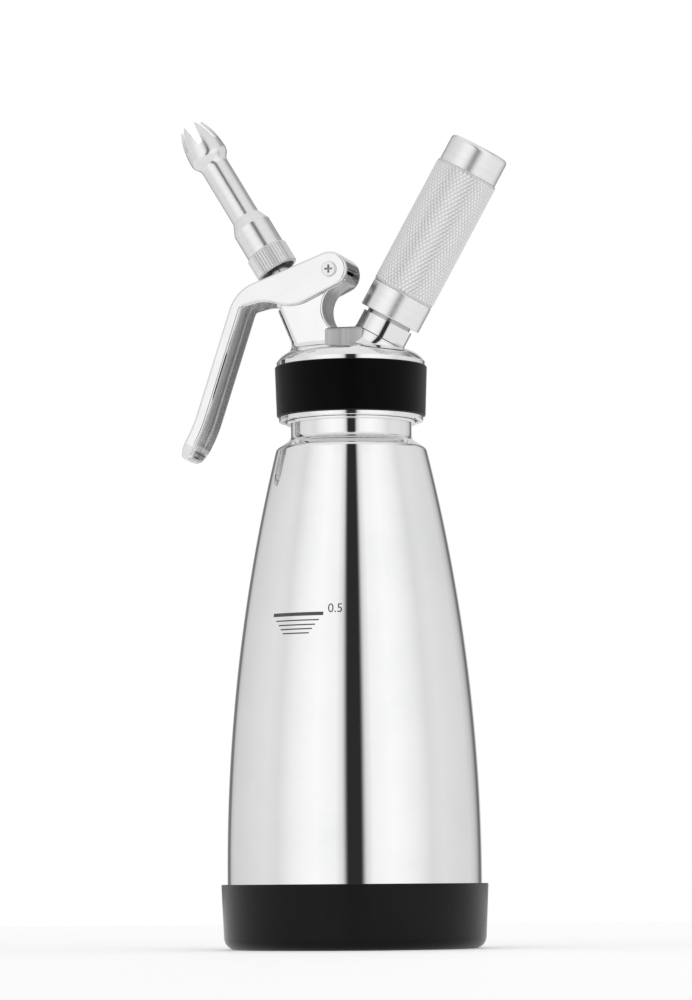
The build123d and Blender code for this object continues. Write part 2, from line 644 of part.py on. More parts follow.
def make_nozzle_tip():
    base_z = tip_start()
    cone_z = base_z + TIP_BASE_H
    tube_z = cone_z + TIP_CONE_H
    bulb_z = tube_z + TIP_TUBE_H
    mouth_z = bulb_z + BULB_H + MOUTH_H
    spigot_r = RING_R - RING_WALL - SEAT_GAP
    spigot_z = base_z - TIP_SPIGOT_H
    socket_r = STEM_R + RUN_GAP
    socket_top = STEM_TOP + BODY_GAP
    inner_mouth_z = mouth_z - MOUTH_BEVEL
    outside = bulb_curve(0, 0, mouth_z)
    inside = bulb_curve(TIP_WALL, PRONG_WALL, inner_mouth_z)
    start = (TIP_TUBE_R, bulb_z)
    inner_start = (TIP_TUBE_R - TIP_WALL, bulb_z)
    up = Polyline((socket_r, spigot_z), (spigot_r, spigot_z), (spigot_r, base_z), (TIP_BASE_R, base_z),
                  (TIP_BASE_R, cone_z), (TIP_TUBE_R, tube_z), start)
    down = Polyline(inner_start, (TIP_TUBE_R - TIP_WALL, tube_z), (TIP_FEED_R, cone_z),
                    (TIP_FEED_R, socket_top), (socket_r, socket_top), (socket_r, spigot_z))
    mouth = Line((TIP_MOUTH_R, mouth_z), (TIP_MOUTH_R - PRONG_WALL, inner_mouth_z))
    tip = turned(make_face(up + outside + mouth + inside + down))
    slot_z = mouth_z - SLOT_DEPTH + SLOT_BOTTOM_R
    above = mouth_z + TIP_WALL
    slot = outline_of((-SLOT_BOTTOM_R, slot_z), (SLOT_BOTTOM_R, slot_z), (SLOT_TOP_HALF, above),
                      (-SLOT_TOP_HALF, above)) + Pos(0, slot_z) * Circle(SLOT_BOTTOM_R)
    slot = extrude(Plane.XZ * slot, 2 * BULB_R)
    for i in range(PRONGS):
        tip -= Rot(0, 0, SLOT_TURN + i * 360 / PRONGS) * slot
    return VALVE_FRAME * tip


# ---- Charger side ----
def make_charger_socket():
    """Threaded socket screwed into the boss; the charger's neck sits inside it."""
    neck_top = BOSS_TOP + SOCKET_NECK_H
    low = SOCKET_FLOOR + SEAT_GAP
    under = BOSS_TOP + SEAT_GAP
    body = disc(SOCKET_SPIGOT_R, low, under) + disc(SOCKET_NECK_R, under, neck_top)
    body += disc(SOCKET_THREAD_R, neck_top, SOCKET_TOP)
    body = chamfer(body.edges().filter_by(GeomType.CIRCLE).sort_by(Axis.Z)[-1], SOCKET_CHAMFER)
    mouth = Pos(0, 0, SOCKET_CONE_AT) * Cone(SOCKET_BORE_R, SOCKET_MOUTH_R, SOCKET_TOP - SOCKET_CONE_AT,
                                             align=(Align.CENTER, Align.CENTER, Align.MIN))
    bore = disc(SOCKET_BORE_R, SOCKET_BORE_AT, SOCKET_CONE_AT)
    pin_hole = disc(PIERCE_R + SEAT_GAP, low, SOCKET_BORE_AT)
    flange_pocket = disc(PIERCE_FLANGE_R + SEAT_GAP, low, low + PIERCE_FLANGE_H + SEAT_GAP)
    return CHARGER_FRAME * (body - mouth - bore - pin_hole - flange_pocket)


def make_piercing_pin():
    low = SOCKET_FLOOR + 2 * SEAT_GAP
    flange = disc(PIERCE_FLANGE_R, low, low + PIERCE_FLANGE_H - SEAT_GAP)
    shank = disc(PIERCE_R, low, PIERCE_TIP - PIERCE_POINT_H)
    point = Pos(0, 0, PIERCE_TIP - PIERCE_POINT_H) * Cone(PIERCE_R, PIERCE_POINT_R, PIERCE_POINT_H,
                                                        align=(Align.CENTER, Align.CENTER, Align.MIN))
    passage = disc(PIERCE_BORE_R, low, PIERCE_TIP - PIERCE_POINT_H)
    side = Pos(0, 0, PIERCE_TIP - PIERCE_POINT_H) * Rot(0, 90, 0) * disc(PIERCE_BORE_R, 0, 2 * PIERCE_R)
    return CHARGER_FRAME * (flange + shank + point - passage - side)


def make_pin_seal():
    low = SOCKET_BORE_AT + SEAT_GAP
    return CHARGER_FRAME * ring(PIERCE_R + SEAT_GAP, SOCKET_BORE_R - SEAT_GAP, low, low + PIN_SEAL_T)


def make_check_valve():
    """Rubber umbrella valve: its disc covers the gas port and its stem sits in the port."""
    top = CHECK_POCKET_TOP - SEAT_GAP
    return CHARGER_FRAME * (disc(CHECK_POCKET_R - 2 * FACE_GAP, top - CHECK_DISC_T, top)
                            + disc(CHECK_STEM_R, top, top + CHECK_STEM_H))


def make_charger_holder():
    band_z = HOLDER_MOUTH + HOLDER_BAND_H
    grip_z = band_z + HOLDER_GRIP_H
    end_z = HOLDER_MOUTH + HOLDER_LEN
    end = disc(HOLDER_END_R, grip_z, end_z)
    end = fillet(end.edges().filter_by(GeomType.CIRCLE).sort_by(Axis.Z)[-1], HOLDER_END_ROUND)
    body = disc(HOLDER_BAND_R, HOLDER_MOUTH, band_z) + disc(HOLDER_GRIP_R, band_z, grip_z) + end
    bore = disc(HOLDER_BORE_R, HOLDER_MOUTH, end_z - HOLDER_END_WALL)
    bore = fillet(bore.edges().filter_by(GeomType.CIRCLE).sort_by(Axis.Z)[-1], HOLDER_BORE_CORNER)
    thread = disc(SOCKET_THREAD_R + 2 * RUN_GAP, HOLDER_MOUTH, SOCKET_TOP + HOLDER_RELIEF)
    return CHARGER_FRAME * (body - bore - thread)


def capsule_outline(inset, low, high):
    """Half section of the charger: neck, rounded shoulder, body and round end."""
    body_r = CAPSULE_R - inset
    neck_r = CAPSULE_NECK_R - inset
    shoulder_z = low + CAPSULE_NECK_H
    body_z = shoulder_z + CAPSULE_SHOULDER_H
    sides = Polyline((0, high), (0, low), (neck_r, low), (neck_r, shoulder_z))
    shoulder = Spline((neck_r, shoulder_z), (body_r, body_z), tangents=[(CAPSULE_SHOULDER_SLOPE, 1), (0, 1)])
    wall = Line((body_r, body_z), (body_r, high - body_r))
    end = RadiusArc((body_r, high - body_r), (0, high), -body_r)
    return make_face(sides + shoulder + wall + end)


def make_gas_charger():
    low = SOCKET_BORE_AT + SEAT_GAP + PIN_SEAL_T + FACE_GAP
    high = HOLDER_MOUTH + HOLDER_LEN - HOLDER_END_WALL - SEAT_GAP
    shell = turned(capsule_outline(0, low, high))
    hollow = turned(capsule_outline(CAPSULE_WALL, low + 2 * CAPSULE_WALL, high - CAPSULE_WALL))
    hole = disc(CAPSULE_HOLE_R, low, low + CAPSULE_NECK_H)
    return CHARGER_FRAME * (shell - hollow - hole)


NODES = {
    "bottle": make_bottle,
    "base_foot": make_base_foot,
    "head_body": make_head_body,
    "collar_grip": make_collar_grip,
    "head_gasket": make_head_gasket,
    "guide_bush": make_guide_bush,
    "stem_oring": make_stem_oring,
    "spring_washer": make_spring_washer,
    "valve_spring": make_valve_spring,
    "valve_stem": make_valve_stem,
    "valve_seal": make_valve_seal,
    "seal_washer": make_seal_washer,
    "seal_nut": make_seal_nut,
    "spring_cap": make_spring_cap,
    "lever": make_lever,
    "pivot_pin": make_pivot_pin,
    "pivot_screw": make_pivot_screw,
    "nozzle_ring": make_nozzle_ring,
    "nozzle_tip": make_nozzle_tip,
    "charger_socket": make_charger_socket,
    "piercing_pin": make_piercing_pin,
    "pin_seal": make_pin_seal,
    "check_valve": make_check_valve,
    "charger_holder": make_charger_holder,
    "gas_charger": make_gas_charger,
}

os.makedirs("parts", exist_ok=True)
for node, make in NODES.items():
    export_step(make(), f"parts/{node}.step")
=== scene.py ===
from math import atan2, cos, pi, radians, sin, sqrt, tan

import bmesh
import bpy
from mathutils import Matrix, Vector


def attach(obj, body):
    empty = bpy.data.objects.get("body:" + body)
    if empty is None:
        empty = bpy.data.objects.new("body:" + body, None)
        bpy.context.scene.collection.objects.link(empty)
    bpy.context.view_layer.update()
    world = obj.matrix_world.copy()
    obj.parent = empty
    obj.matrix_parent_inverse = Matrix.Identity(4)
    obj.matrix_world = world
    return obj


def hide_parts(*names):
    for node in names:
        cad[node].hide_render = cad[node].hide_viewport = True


# A whipped cream dispenser: a polished steel bottle in a rubber foot, a screwed head with a
# squeeze lever, a fluted nozzle on the valve's stem and a knurled holder for the gas charger.
# Sizes are in millimetres, as on the maker's drawing, and become metres where a mesh is made.
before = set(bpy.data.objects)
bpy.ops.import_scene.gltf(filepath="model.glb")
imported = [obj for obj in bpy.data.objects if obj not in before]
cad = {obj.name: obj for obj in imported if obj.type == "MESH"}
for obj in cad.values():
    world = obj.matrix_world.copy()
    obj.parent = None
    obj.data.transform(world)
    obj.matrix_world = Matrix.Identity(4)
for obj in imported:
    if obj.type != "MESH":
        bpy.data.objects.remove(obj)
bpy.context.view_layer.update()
MM = 0.001


# ---- Rubber foot ----
# A cup of black rubber that the bottle is pushed into, moulded in one piece. Its wall is drafted
# to leave the mould and its lower corner is round. The finish is dull, with a fine even grain.
FOOT_R = 45.0
FOOT_BOTTOM_R = 44.0
FOOT_H = 21.8
FOOT_FLOOR = 2.5
FOOT_CORNER = 4.0
FOOT_LIP = 0.35
CUP_R = 42.93
CUP_CORNER = 6.0
ROUND_SEGMENTS = 6

# Points nearer to each other than WELD become one, and NEAR is near enough to count as on a plane.
WELD = 0.001
NEAR = 0.05

# The grain and the dust on moulded rubber, as counts per metre and where the dust starts and is full.
COARSE_GRAIN = 0.22
COARSE_SHARE = 0.35
DUST_PATCHES = 38.0
DUST_SPECKS = 900.0
PATCH_RANGE = (0.46, 0.74)
SPECK_RANGE = (0.64, 0.72)
PATCH_SHARE = 0.6
DUST_DULLS = 0.16
GRAIN_HEIGHT = 0.05
SHEEN_SPREAD = 0.45


def draw_section(corners, closed=True):
    """A turned piece's half section as a wire: each corner is across, up and, if round, its radius."""
    bm = bmesh.new()
    points = [bm.verts.new((corner[0] * MM, 0, corner[1] * MM)) for corner in corners]
    for start, end in zip(points, points[1:] + (points[:1] if closed else [])):
        bm.edges.new((start, end))
    for i, corner in enumerate(corners):
        if len(corner) == 3:
            here = Vector(corner[:2])
            arriving = here - Vector(corners[i - 1][:2])
            leaving = Vector(corners[(i + 1) % len(corners)][:2]) - here
            reach = corner[2] * tan(arriving.angle(leaving) / 2)
            bmesh.ops.bevel(bm, geom=[points[i]], affect="VERTICES", offset=reach * MM,
                            segments=ROUND_SEGMENTS, profile=0.5, material=-1)
    return bm


def turn_section(bm, steps=160):
    """Turn the section once round the upright axis into a closed skin that faces outwards."""
    bmesh.ops.spin(bm, geom=bm.verts[:] + bm.edges[:], cent=(0, 0, 0), axis=(0, 0, 1),
                   angle=2 * pi, steps=steps, use_merge=True)
    bmesh.ops.remove_doubles(bm, verts=bm.verts, dist=WELD * MM)
    bmesh.ops.recalc_face_normals(bm, faces=bm.faces)
    return bm


def finished(name, bm, body, place=None, crease=32):
    """Put the mesh in place and make it a smooth-shaded piece of that body, creased at its edges."""
    if place:
        bmesh.ops.transform(bm, matrix=place, verts=bm.verts)
    for face in bm.faces:
        face.smooth = True
    for edge in bm.edges:
        edge.smooth = edge.calc_face_angle(0) < radians(crease)
    mesh = bpy.data.meshes.new(name)
    bm.to_mesh(mesh)
    bm.free()
    piece = bpy.data.objects.new(name, mesh)
    bpy.context.scene.collection.objects.link(piece)
    shading = piece.modifiers.new("even shading", "WEIGHTED_NORMAL")
    shading.keep_sharp = True
    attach(piece, body)
    return piece


def new_group(name, inputs, outputs):
    """An empty node group with these sockets, and its input and output nodes."""
    group = bpy.data.node_groups.new(name, "ShaderNodeTree")
    for socket, kind, value in inputs:
        made = group.interface.new_socket(socket, in_out="INPUT", socket_type=kind)
        if value is not None:
            made.default_value = value
    for socket, kind in outputs:
        group.interface.new_socket(socket, in_out="OUTPUT", socket_type=kind)
    return group, group.nodes.new("NodeGroupInput"), group.nodes.new("NodeGroupOutput")


def add_node(tree, kind, settings=(), **sockets):
    """A node with its settings made, and each input, by its name or as i and its number, set or linked."""
    node = tree.nodes.new(kind)
    for setting, value in dict(settings).items():
        setattr(node, setting, value)
    for key, value in sockets.items():
        by_number = key[0] == "i" and key[1:].isdigit()
        socket = node.inputs[int(key[1:]) if by_number else key]
        if isinstance(value, bpy.types.NodeSocket):
            tree.links.new(value, socket)
        else:
            socket.default_value = value
    return node


def calculated(tree, operation, *values):
    """The result of a math node on these values or outputs."""
    sockets = {f"i{n}": value for n, value in enumerate(values)}
    return add_node(tree, "ShaderNodeMath", {"operation": operation}, **sockets).outputs[0]


def remapped(tree, value, low, high, to_low=0.0, to_high=1.0):
    """The value, spread from one range to another and held inside it."""
    spread = add_node(tree, "ShaderNodeMapRange", i0=value, i1=low, i2=high, i3=to_low, i4=to_high)
    return spread.outputs[0]


def noise(tree, vector, scale, detail=2.0, roughness=0.5):
    """Soft random patches, this many to the metre."""
    return add_node(tree, "ShaderNodeTexNoise", Vector=vector, Scale=scale, Detail=detail,
                    Roughness=roughness).outputs["Fac"]


def blended(tree, amount, first, second):
    """Two colours mixed by an amount that varies over the surface."""
    mix = add_node(tree, "ShaderNodeMix", {"data_type": "RGBA"}, i0=amount)
    for index, colour in ((6, first), (7, second)):
        mix.inputs[index].default_value = (*colour, 1)
    return mix.outputs[2]


def new_finish(name):
    """A material with an empty Principled shader, and the object's own coordinates."""
    finish = bpy.data.materials.new(name)
    finish.use_nodes = True
    tree = finish.node_tree
    place = tree.nodes.new("ShaderNodeTexCoord").outputs["Object"]
    return finish, tree, tree.nodes["Principled BSDF"], place


def dress(piece, finish):
    """Give a new piece its finish."""
    piece.data.materials.append(finish)


def repaint(finish, *nodes):
    """Give these CAD nodes a finish in place of their plain colour."""
    for node in nodes:
        for material_slot in cad[node].material_slots:
            material_slot.material = finish


def build_moulded_grain():
    """Skin of moulded rubber or plastic: fine grain height, and thin dust and rub marks."""
    group, source, result = new_group(
        "moulded grain",
        [("Vector", "NodeSocketVector", None), ("Grain scale", "NodeSocketFloat", 2600.0)],
        [("Height", "NodeSocketFloat"), ("Dust", "NodeSocketFloat")])
    vector, scale = source.outputs["Vector"], source.outputs["Grain scale"]
    fine = noise(group, vector, scale, detail=3.0, roughness=0.6)
    coarse = noise(group, vector, calculated(group, "MULTIPLY", scale, COARSE_GRAIN))
    height = calculated(group, "MULTIPLY_ADD", coarse, COARSE_SHARE, fine)
    patches = remapped(group, noise(group, vector, DUST_PATCHES, detail=5.0, roughness=0.62), *PATCH_RANGE)
    specks = remapped(group, noise(group, vector, DUST_SPECKS, detail=1.0), *SPECK_RANGE)
    dust = calculated(group, "MAXIMUM", calculated(group, "MULTIPLY", patches, PATCH_SHARE),
                      calculated(group, "MULTIPLY", specks, patches))
    group.links.new(height, result.inputs["Height"])
    group.links.new(dust, result.inputs["Dust"])
    return group


def moulded_finish(name, colour, dusty, roughness, grain_scale, relief, gloss=0.5, sheen=0.0):
    """Rubber, silicone or plastic with its grain, and a little dust that lightens and dulls it."""
    finish, tree, shader, place = new_finish(name)
    grain = add_node(tree, "ShaderNodeGroup", {"node_tree": MOULDED_GRAIN},
                     **{"Vector": place, "Grain scale": grain_scale})
    dust = grain.outputs["Dust"]
    tree.links.new(blended(tree, dust, colour, dusty), shader.inputs["Base Color"])
    tree.links.new(remapped(tree, dust, 0, 1, roughness, min(1.0, roughness + DUST_DULLS)),
                   shader.inputs["Roughness"])
    bump = add_node(tree, "ShaderNodeBump", Height=grain.outputs["Height"], Strength=relief,
                    Distance=GRAIN_HEIGHT * MM)
    tree.links.new(bump.outputs["Normal"], shader.inputs["Normal"])
    shader.inputs["Specular IOR Level"].default_value = gloss
    shader.inputs["Sheen Weight"].default_value = sheen
    shader.inputs["Sheen Roughness"].default_value = SHEEN_SPREAD
    return finish


MOULDED_GRAIN = build_moulded_grain()
FOOT_RUBBER = moulded_finish("foot rubber", (0.002, 0.002, 0.0021), (0.005, 0.005, 0.0052), roughness=0.2,
                             grain_scale=2200.0, relief=0.10, gloss=0.14, sheen=0.10)

foot = turn_section(draw_section([
    (0, 0), (FOOT_BOTTOM_R, 0, FOOT_CORNER), (FOOT_R, FOOT_H, FOOT_LIP), (CUP_R, FOOT_H),
    (CUP_R, FOOT_FLOOR, CUP_CORNER), (0, FOOT_FLOOR)], closed=False), steps=192)
foot = finished("rubber_foot", foot, "bottle")
dress(foot, FOOT_RUBBER)
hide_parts("base_foot")


# ---- Bottle ----
# Deep-drawn stainless steel, spun to a long slow curve, with a flat shoulder, a narrow neck and
# a rolled bead. Outside it is polished to a mirror. The neck's thread is rolled into its wall.
BODY_R = 42.9
BODY_ARC_R = 605.0
BODY_ARC_Z = 25.0
BOTTLE_WALL = 1.2
BASE_CORNER = 6.0
PUNT_R = 30.0
PUNT_H = 1.6
PUNT_ROUND = 20.0
SHOULDER_Z = 168.8
SHOULDER_ROUND = 2.0
NECK_R = 20.55
NECK_Z = 172.0
NECK_ROUND = 2.5
NECK_BORE_R = 19.15
BEAD_R = 22.3
BEAD_Z = 177.3
BEAD_TOP = 178.7
BEAD_ROUND = 0.5
THREAD_ROOT_R = 20.75
THREAD_R = 21.4
RIM_Z = 191.0
RIM_CHAMFER = 0.6
CURVE_RUNS = 36
THREAD_PITCH = 3.0
THREAD_TURNS = 3.0
THREAD_LOW = 180.1

# A thread's ridge: its steps in a turn, how far it is sunk in its core, half its foot as a share of
# the pitch, its crest as a share of its foot, how many full heights it rises in a turn from its ends,
# and its height there.
THREAD_STEPS = 64
THREAD_SUNK = 0.2
THREAD_FOOT = 0.42
THREAD_CREST = 0.22
THREAD_RISE = 3
THREAD_START = 0.12

# Marks on polished metal, as counts per metre and where each begins and is full. The hairlines run
# three ways: each has its turn, and how closely its lines lie along each axis.
SMUDGES = 42.0
SMUDGE_RANGE = (0.44, 0.72)
RIPPLES = 16.0
HAIRLINES = (((0.15, 0.1, 0.0), (1500, 1500, 22)), ((0.1, 0.5, 0.7), (30, 30, 1700)),
             ((0.9, 0.3, 0.2), (1300, 26, 1300)))
HAIRLINE_RANGE = (0.70, 0.80)
HAIRLINE_DEPTH = 0.04


def body_radius(z, inset=0.0):
    """Radius of the bottle's long curve at height z."""
    return BODY_R - BODY_ARC_R + sqrt((BODY_ARC_R - inset) ** 2 - (z - BODY_ARC_Z) ** 2)


def body_curve(inset, top):
    """Points up the bottle's long curve, from where it is upright to just under its shoulder."""
    heights = [BODY_ARC_Z + (top - BODY_ARC_Z) * i / CURVE_RUNS for i in range(CURVE_RUNS)]
    return [(body_radius(z, inset), z) for z in heights]


def bottle_corners():
    """Outside of the bottle from its punt to its rim, then the inside back down."""
    inner_floor = FOOT_FLOOR + BOTTLE_WALL
    inner_top = SHOULDER_Z - BOTTLE_WALL
    outside = [(0, FOOT_FLOOR + PUNT_H), (PUNT_R, FOOT_FLOOR, PUNT_ROUND),
               (BODY_R, FOOT_FLOOR, BASE_CORNER)]
    outside += body_curve(0, SHOULDER_Z)
    outside += [(body_radius(SHOULDER_Z), SHOULDER_Z, SHOULDER_ROUND), (NECK_R, NECK_Z, NECK_ROUND),
                (NECK_R, BEAD_Z), (BEAD_R, BEAD_Z, BEAD_ROUND), (BEAD_R, BEAD_TOP, BEAD_ROUND),
                (THREAD_ROOT_R, BEAD_TOP), (THREAD_ROOT_R, RIM_Z - RIM_CHAMFER),
                (THREAD_ROOT_R - RIM_CHAMFER, RIM_Z)]
    inside = [(NECK_BORE_R, RIM_Z), (NECK_BORE_R, NECK_Z - BOTTLE_WALL, NECK_ROUND + BOTTLE_WALL),
              (body_radius(inner_top, BOTTLE_WALL), inner_top, SHOULDER_ROUND - BOTTLE_WALL)]
    inside += reversed(body_curve(BOTTLE_WALL, inner_top))
    inside += [(BODY_R - BOTTLE_WALL, inner_floor, BASE_CORNER - BOTTLE_WALL),
               (PUNT_R, inner_floor), (0, inner_floor + PUNT_H)]
    return outside + inside


def helical_thread(root_r, crest_r, pitch, turns, low):
    """A round-crested screw thread, sunk a little in its core, whose ends fade into the core."""
    bm = bmesh.new()
    sunk_r = root_r - THREAD_SUNK
    foot = THREAD_FOOT * pitch
    crest = THREAD_CREST * foot
    ridge = [(sunk_r, low - foot), (crest_r, low - crest), (crest_r, low + crest), (sunk_r, low + foot)]
    corners = [bm.verts.new((r * MM, 0, z * MM)) for r, z in ridge]
    bm.faces.new(corners)
    steps = int(turns * THREAD_STEPS)
    bmesh.ops.spin(bm, geom=bm.verts[:] + bm.edges[:] + bm.faces[:], cent=(0, 0, 0), axis=(0, 0, 1),
                   dvec=(0, 0, pitch * turns / steps * MM), angle=2 * pi * turns, steps=steps)
    bmesh.ops.remove_doubles(bm, verts=bm.verts, dist=WELD * MM)
    bmesh.ops.recalc_face_normals(bm, faces=bm.faces)
    for vert in bm.verts:
        radius = vert.co.xy.length
        if radius > root_r * MM:
            along = (vert.co.z / MM - low) / (pitch * turns)
            fade = min(1.0, min(along, 1.0 - along) * turns * THREAD_RISE + THREAD_START)
            wanted = sunk_r + (radius / MM - sunk_r) * max(0.0, fade)
            vert.co.xy *= wanted * MM / radius
    return bm


def build_handling_marks():
    """Marks of use on polished metal: faint smudges, sparse hairlines, and the ripple of the polish."""
    group, source, result = new_group(
        "handling marks",
        [("Vector", "NodeSocketVector", None), ("Hairline scale", "NodeSocketFloat", 1.0)],
        [("Smudges", "NodeSocketFloat"), ("Hairlines", "NodeSocketFloat"), ("Ripple", "NodeSocketFloat")])
    vector = source.outputs["Vector"]
    smudges = remapped(group, noise(group, vector, SMUDGES, detail=6.0, roughness=0.62), *SMUDGE_RANGE)
    lines = None
    for turn, stretch in HAIRLINES:
        turned_vector = add_node(group, "ShaderNodeMapping", Vector=vector, Rotation=turn,
                                 Scale=stretch).outputs[0]
        hair = noise(group, turned_vector, source.outputs["Hairline scale"], detail=1.0)
        hair = remapped(group, hair, *HAIRLINE_RANGE)
        lines = hair if lines is None else calculated(group, "MAXIMUM", lines, hair)
    ripple = noise(group, vector, RIPPLES, detail=1.0)
    for output, value in (("Smudges", smudges), ("Hairlines", lines), ("Ripple", ripple)):
        group.links.new(value, result.inputs[output])
    return group


def polished_finish(name, colour, smudged, roughness, smudge_gain, ripple=0.0, hairline=0.0):
    """Polished metal: smudges tint and dull it, hairlines dull it more, ripples bend reflections."""
    finish, tree, shader, place = new_finish(name)
    marks = add_node(tree, "ShaderNodeGroup", {"node_tree": HANDLING_MARKS}, Vector=place)
    smudges, hairlines = marks.outputs["Smudges"], marks.outputs["Hairlines"]
    tree.links.new(blended(tree, smudges, colour, smudged), shader.inputs["Base Color"])
    dulled = calculated(tree, "MULTIPLY_ADD", smudges, smudge_gain, roughness)
    dulled = calculated(tree, "MULTIPLY_ADD", hairlines, hairline, dulled)
    tree.links.new(dulled, shader.inputs["Roughness"])
    height = calculated(tree, "MULTIPLY_ADD", hairlines, -HAIRLINE_DEPTH * hairline,
                        calculated(tree, "MULTIPLY", marks.outputs["Ripple"], ripple))
    bump = add_node(tree, "ShaderNodeBump", Height=height, Strength=1.0, Distance=MM)
    tree.links.new(bump.outputs["Normal"], shader.inputs["Normal"])
    shader.inputs["Metallic"].default_value = 1.0
    return finish


HANDLING_MARKS = build_handling_marks()
BOTTLE_STEEL = polished_finish("mirror polished steel", (0.80, 0.80, 0.80), (0.76, 0.765, 0.77),
                               roughness=0.022, smudge_gain=0.016, ripple=0.06, hairline=0.03)

bottle = turn_section(draw_section(bottle_corners(), closed=False), steps=256)
bottle = finished("bottle_shell", bottle, "bottle")
dress(bottle, BOTTLE_STEEL)
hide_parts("bottle")
thread = helical_thread(THREAD_ROOT_R, THREAD_R, THREAD_PITCH, THREAD_TURNS, THREAD_LOW)
thread = finished("bottle_thread", thread, "bottle")
dress(thread, BOTTLE_STEEL)


# ---- Fill mark ----
# Printed on the front of the bottle in grey ink: a thick line for the fill level, four thin lines
# under it that get shorter, and the level in litres as a plain number. The ink film is very thin.

# Each line has its height, how many degrees of the bottle it spans, and its thickness.
MARK_MIDDLE = -106.0
MARK_LINES = ((110.95, 30.2, 1.15), (108.9, 25.6, 0.42), (107.4, 21.8, 0.42), (106.0, 18.6, 0.42),
              (104.6, 15.4, 0.42))
MARK_STRIPS = 24
INK_T = 0.02
INK_LIFT = 0.02
NUMBER_MIDDLE = -84.6
NUMBER_Z = 111.3
NUMBER_SIZE = 4.2
INK_SPECKS = 1400.0
INK_SPECK_RANGE = (0.35, 0.75)
INK_WHOLE = (0.030, 0.031, 0.033)
INK_WORN = (0.085, 0.086, 0.088)
INK_ROUGHNESS = (0.38, 0.55)


def wrap_on_bottle(verts, middle):
    """Bend flat artwork onto the bottle: x runs round it from the middle, z up, y into it."""
    for vert in verts:
        z = vert.co.z / MM
        radius = body_radius(z) + INK_LIFT - vert.co.y / MM
        turn = radians(middle) + vert.co.x / MM / body_radius(z)
        vert.co = Vector((radius * cos(turn), radius * sin(turn), z)) * MM


INK, ink_tree, ink_shader, ink_place = new_finish("grey marking ink")
ink_wear = noise(ink_tree, ink_place, INK_SPECKS, detail=4.0, roughness=0.7)
ink_wear = remapped(ink_tree, ink_wear, *INK_SPECK_RANGE)
ink_tree.links.new(blended(ink_tree, ink_wear, INK_WHOLE, INK_WORN), ink_shader.inputs["Base Color"])
ink_tree.links.new(remapped(ink_tree, ink_wear, 0, 1, *INK_ROUGHNESS), ink_shader.inputs["Roughness"])

lines = bmesh.new()
for height, span, thick in MARK_LINES:
    strip = bmesh.ops.create_grid(lines, x_segments=MARK_STRIPS, y_segments=1, size=0.5)["verts"]
    width = radians(span) * body_radius(height)
    bmesh.ops.scale(lines, vec=(width * MM, thick * MM, 1), verts=strip)
    bmesh.ops.rotate(lines, cent=(0, 0, 0), matrix=Matrix.Rotation(radians(90), 3, "X"), verts=strip)
    bmesh.ops.translate(lines, vec=(0, 0, height * MM), verts=strip)
film = bmesh.ops.extrude_face_region(lines, geom=lines.faces[:])["geom"]
film_top = [part for part in film if isinstance(part, bmesh.types.BMVert)]
bmesh.ops.translate(lines, vec=(0, -INK_T * MM, 0), verts=film_top)
wrap_on_bottle(lines.verts, MARK_MIDDLE)
lines = finished("fill_lines", lines, "bottle")
dress(lines, INK)

number_text = bpy.data.curves.new("number text", "FONT")
number_text.body = "0.5"
number_text.size = NUMBER_SIZE * MM
number_text.align_x = "CENTER"
number_text.extrude = INK_T / 2 * MM
number_text.resolution_u = 6
number_flat = bpy.data.objects.new("number flat", number_text)
number = bmesh.new()
number.from_mesh(bpy.data.meshes.new_from_object(number_flat))
bpy.data.objects.remove(number_flat)
bmesh.ops.remove_doubles(number, verts=number.verts, dist=WELD * MM)
bmesh.ops.triangulate(number, faces=number.faces)
bmesh.ops.rotate(number, cent=(0, 0, 0), matrix=Matrix.Rotation(radians(90), 3, "X"),
                 verts=number.verts)
bmesh.ops.translate(number, vec=(0, -INK_T / 2 * MM, NUMBER_Z * MM), verts=number.verts)
wrap_on_bottle(number.verts, NUMBER_MIDDLE)
number = finished("fill_number", number, "bottle")
dress(number, INK)


# ---- Head: dome, post and bosses ----
# Cast stainless steel, turned where it is round and polished all over. The post that leans back
# carries the valve and the lever's pivot, and a boss on the other side takes the charger.
CROSS_Z = 188.8
VALVE_TILT = 31.0
CHARGER_TILT = 29.5

# The casting is brushed satin round the inside of the post's arch and in a box over the saddle, and
# its dark grey there is partly painted shade.
SATIN_ARCH_X = 1.1
SATIN_ARCH_Z = 216.7
SATIN_ARCH_R = 9.05
SATIN_ARCH_HALF = 7.75
SATIN_PLINTH = ((-7.9, 9.0), (-5.9, 5.9), (203.2, 210.2))
SATIN_AND_SHADE_DARK = (0.34, 0.34, 0.34)
SATIN_AND_SHADE_LIGHT = (0.48, 0.48, 0.48)

# A thin ring of painted shade, this far along the charger boss's axis, stands for a fine turned groove.
GROOVE_AT = 20.8
GROOVE_WIDE = 0.3
GROOVE_WITHIN = 9.3
PAINTED_GROOVE_SHADE_COLOUR = (0.12, 0.12, 0.12, 1)

# The brush's grain is fine lines on coarse ones, each as counts per metre across and along it.
BRUSH_LINES = ((2600, 2600, 40), (420, 420, 12))
COARSE_LINE_SHARE = 0.7
BRUSH_RANGE = (0.34, 0.66)


def build_brushing():
    """Straight grain of a brush or a press that runs up and down, as a light and dark pattern."""
    group, source, result = new_group("brushing", [("Vector", "NodeSocketVector", None)],
                                      [("Streaks", "NodeSocketFloat")])
    layers = []
    for stretch in BRUSH_LINES:
        stretched = add_node(group, "ShaderNodeMapping", Vector=source.outputs["Vector"], Scale=stretch)
        layers.append(noise(group, stretched.outputs[0], 1.0))
    fine = calculated(group, "MULTIPLY", layers[0], 1 - COARSE_LINE_SHARE)
    streaks = calculated(group, "MULTIPLY_ADD", layers[1], COARSE_LINE_SHARE, fine)
    group.links.new(remapped(group, streaks, *BRUSH_RANGE), result.inputs["Streaks"])
    return group


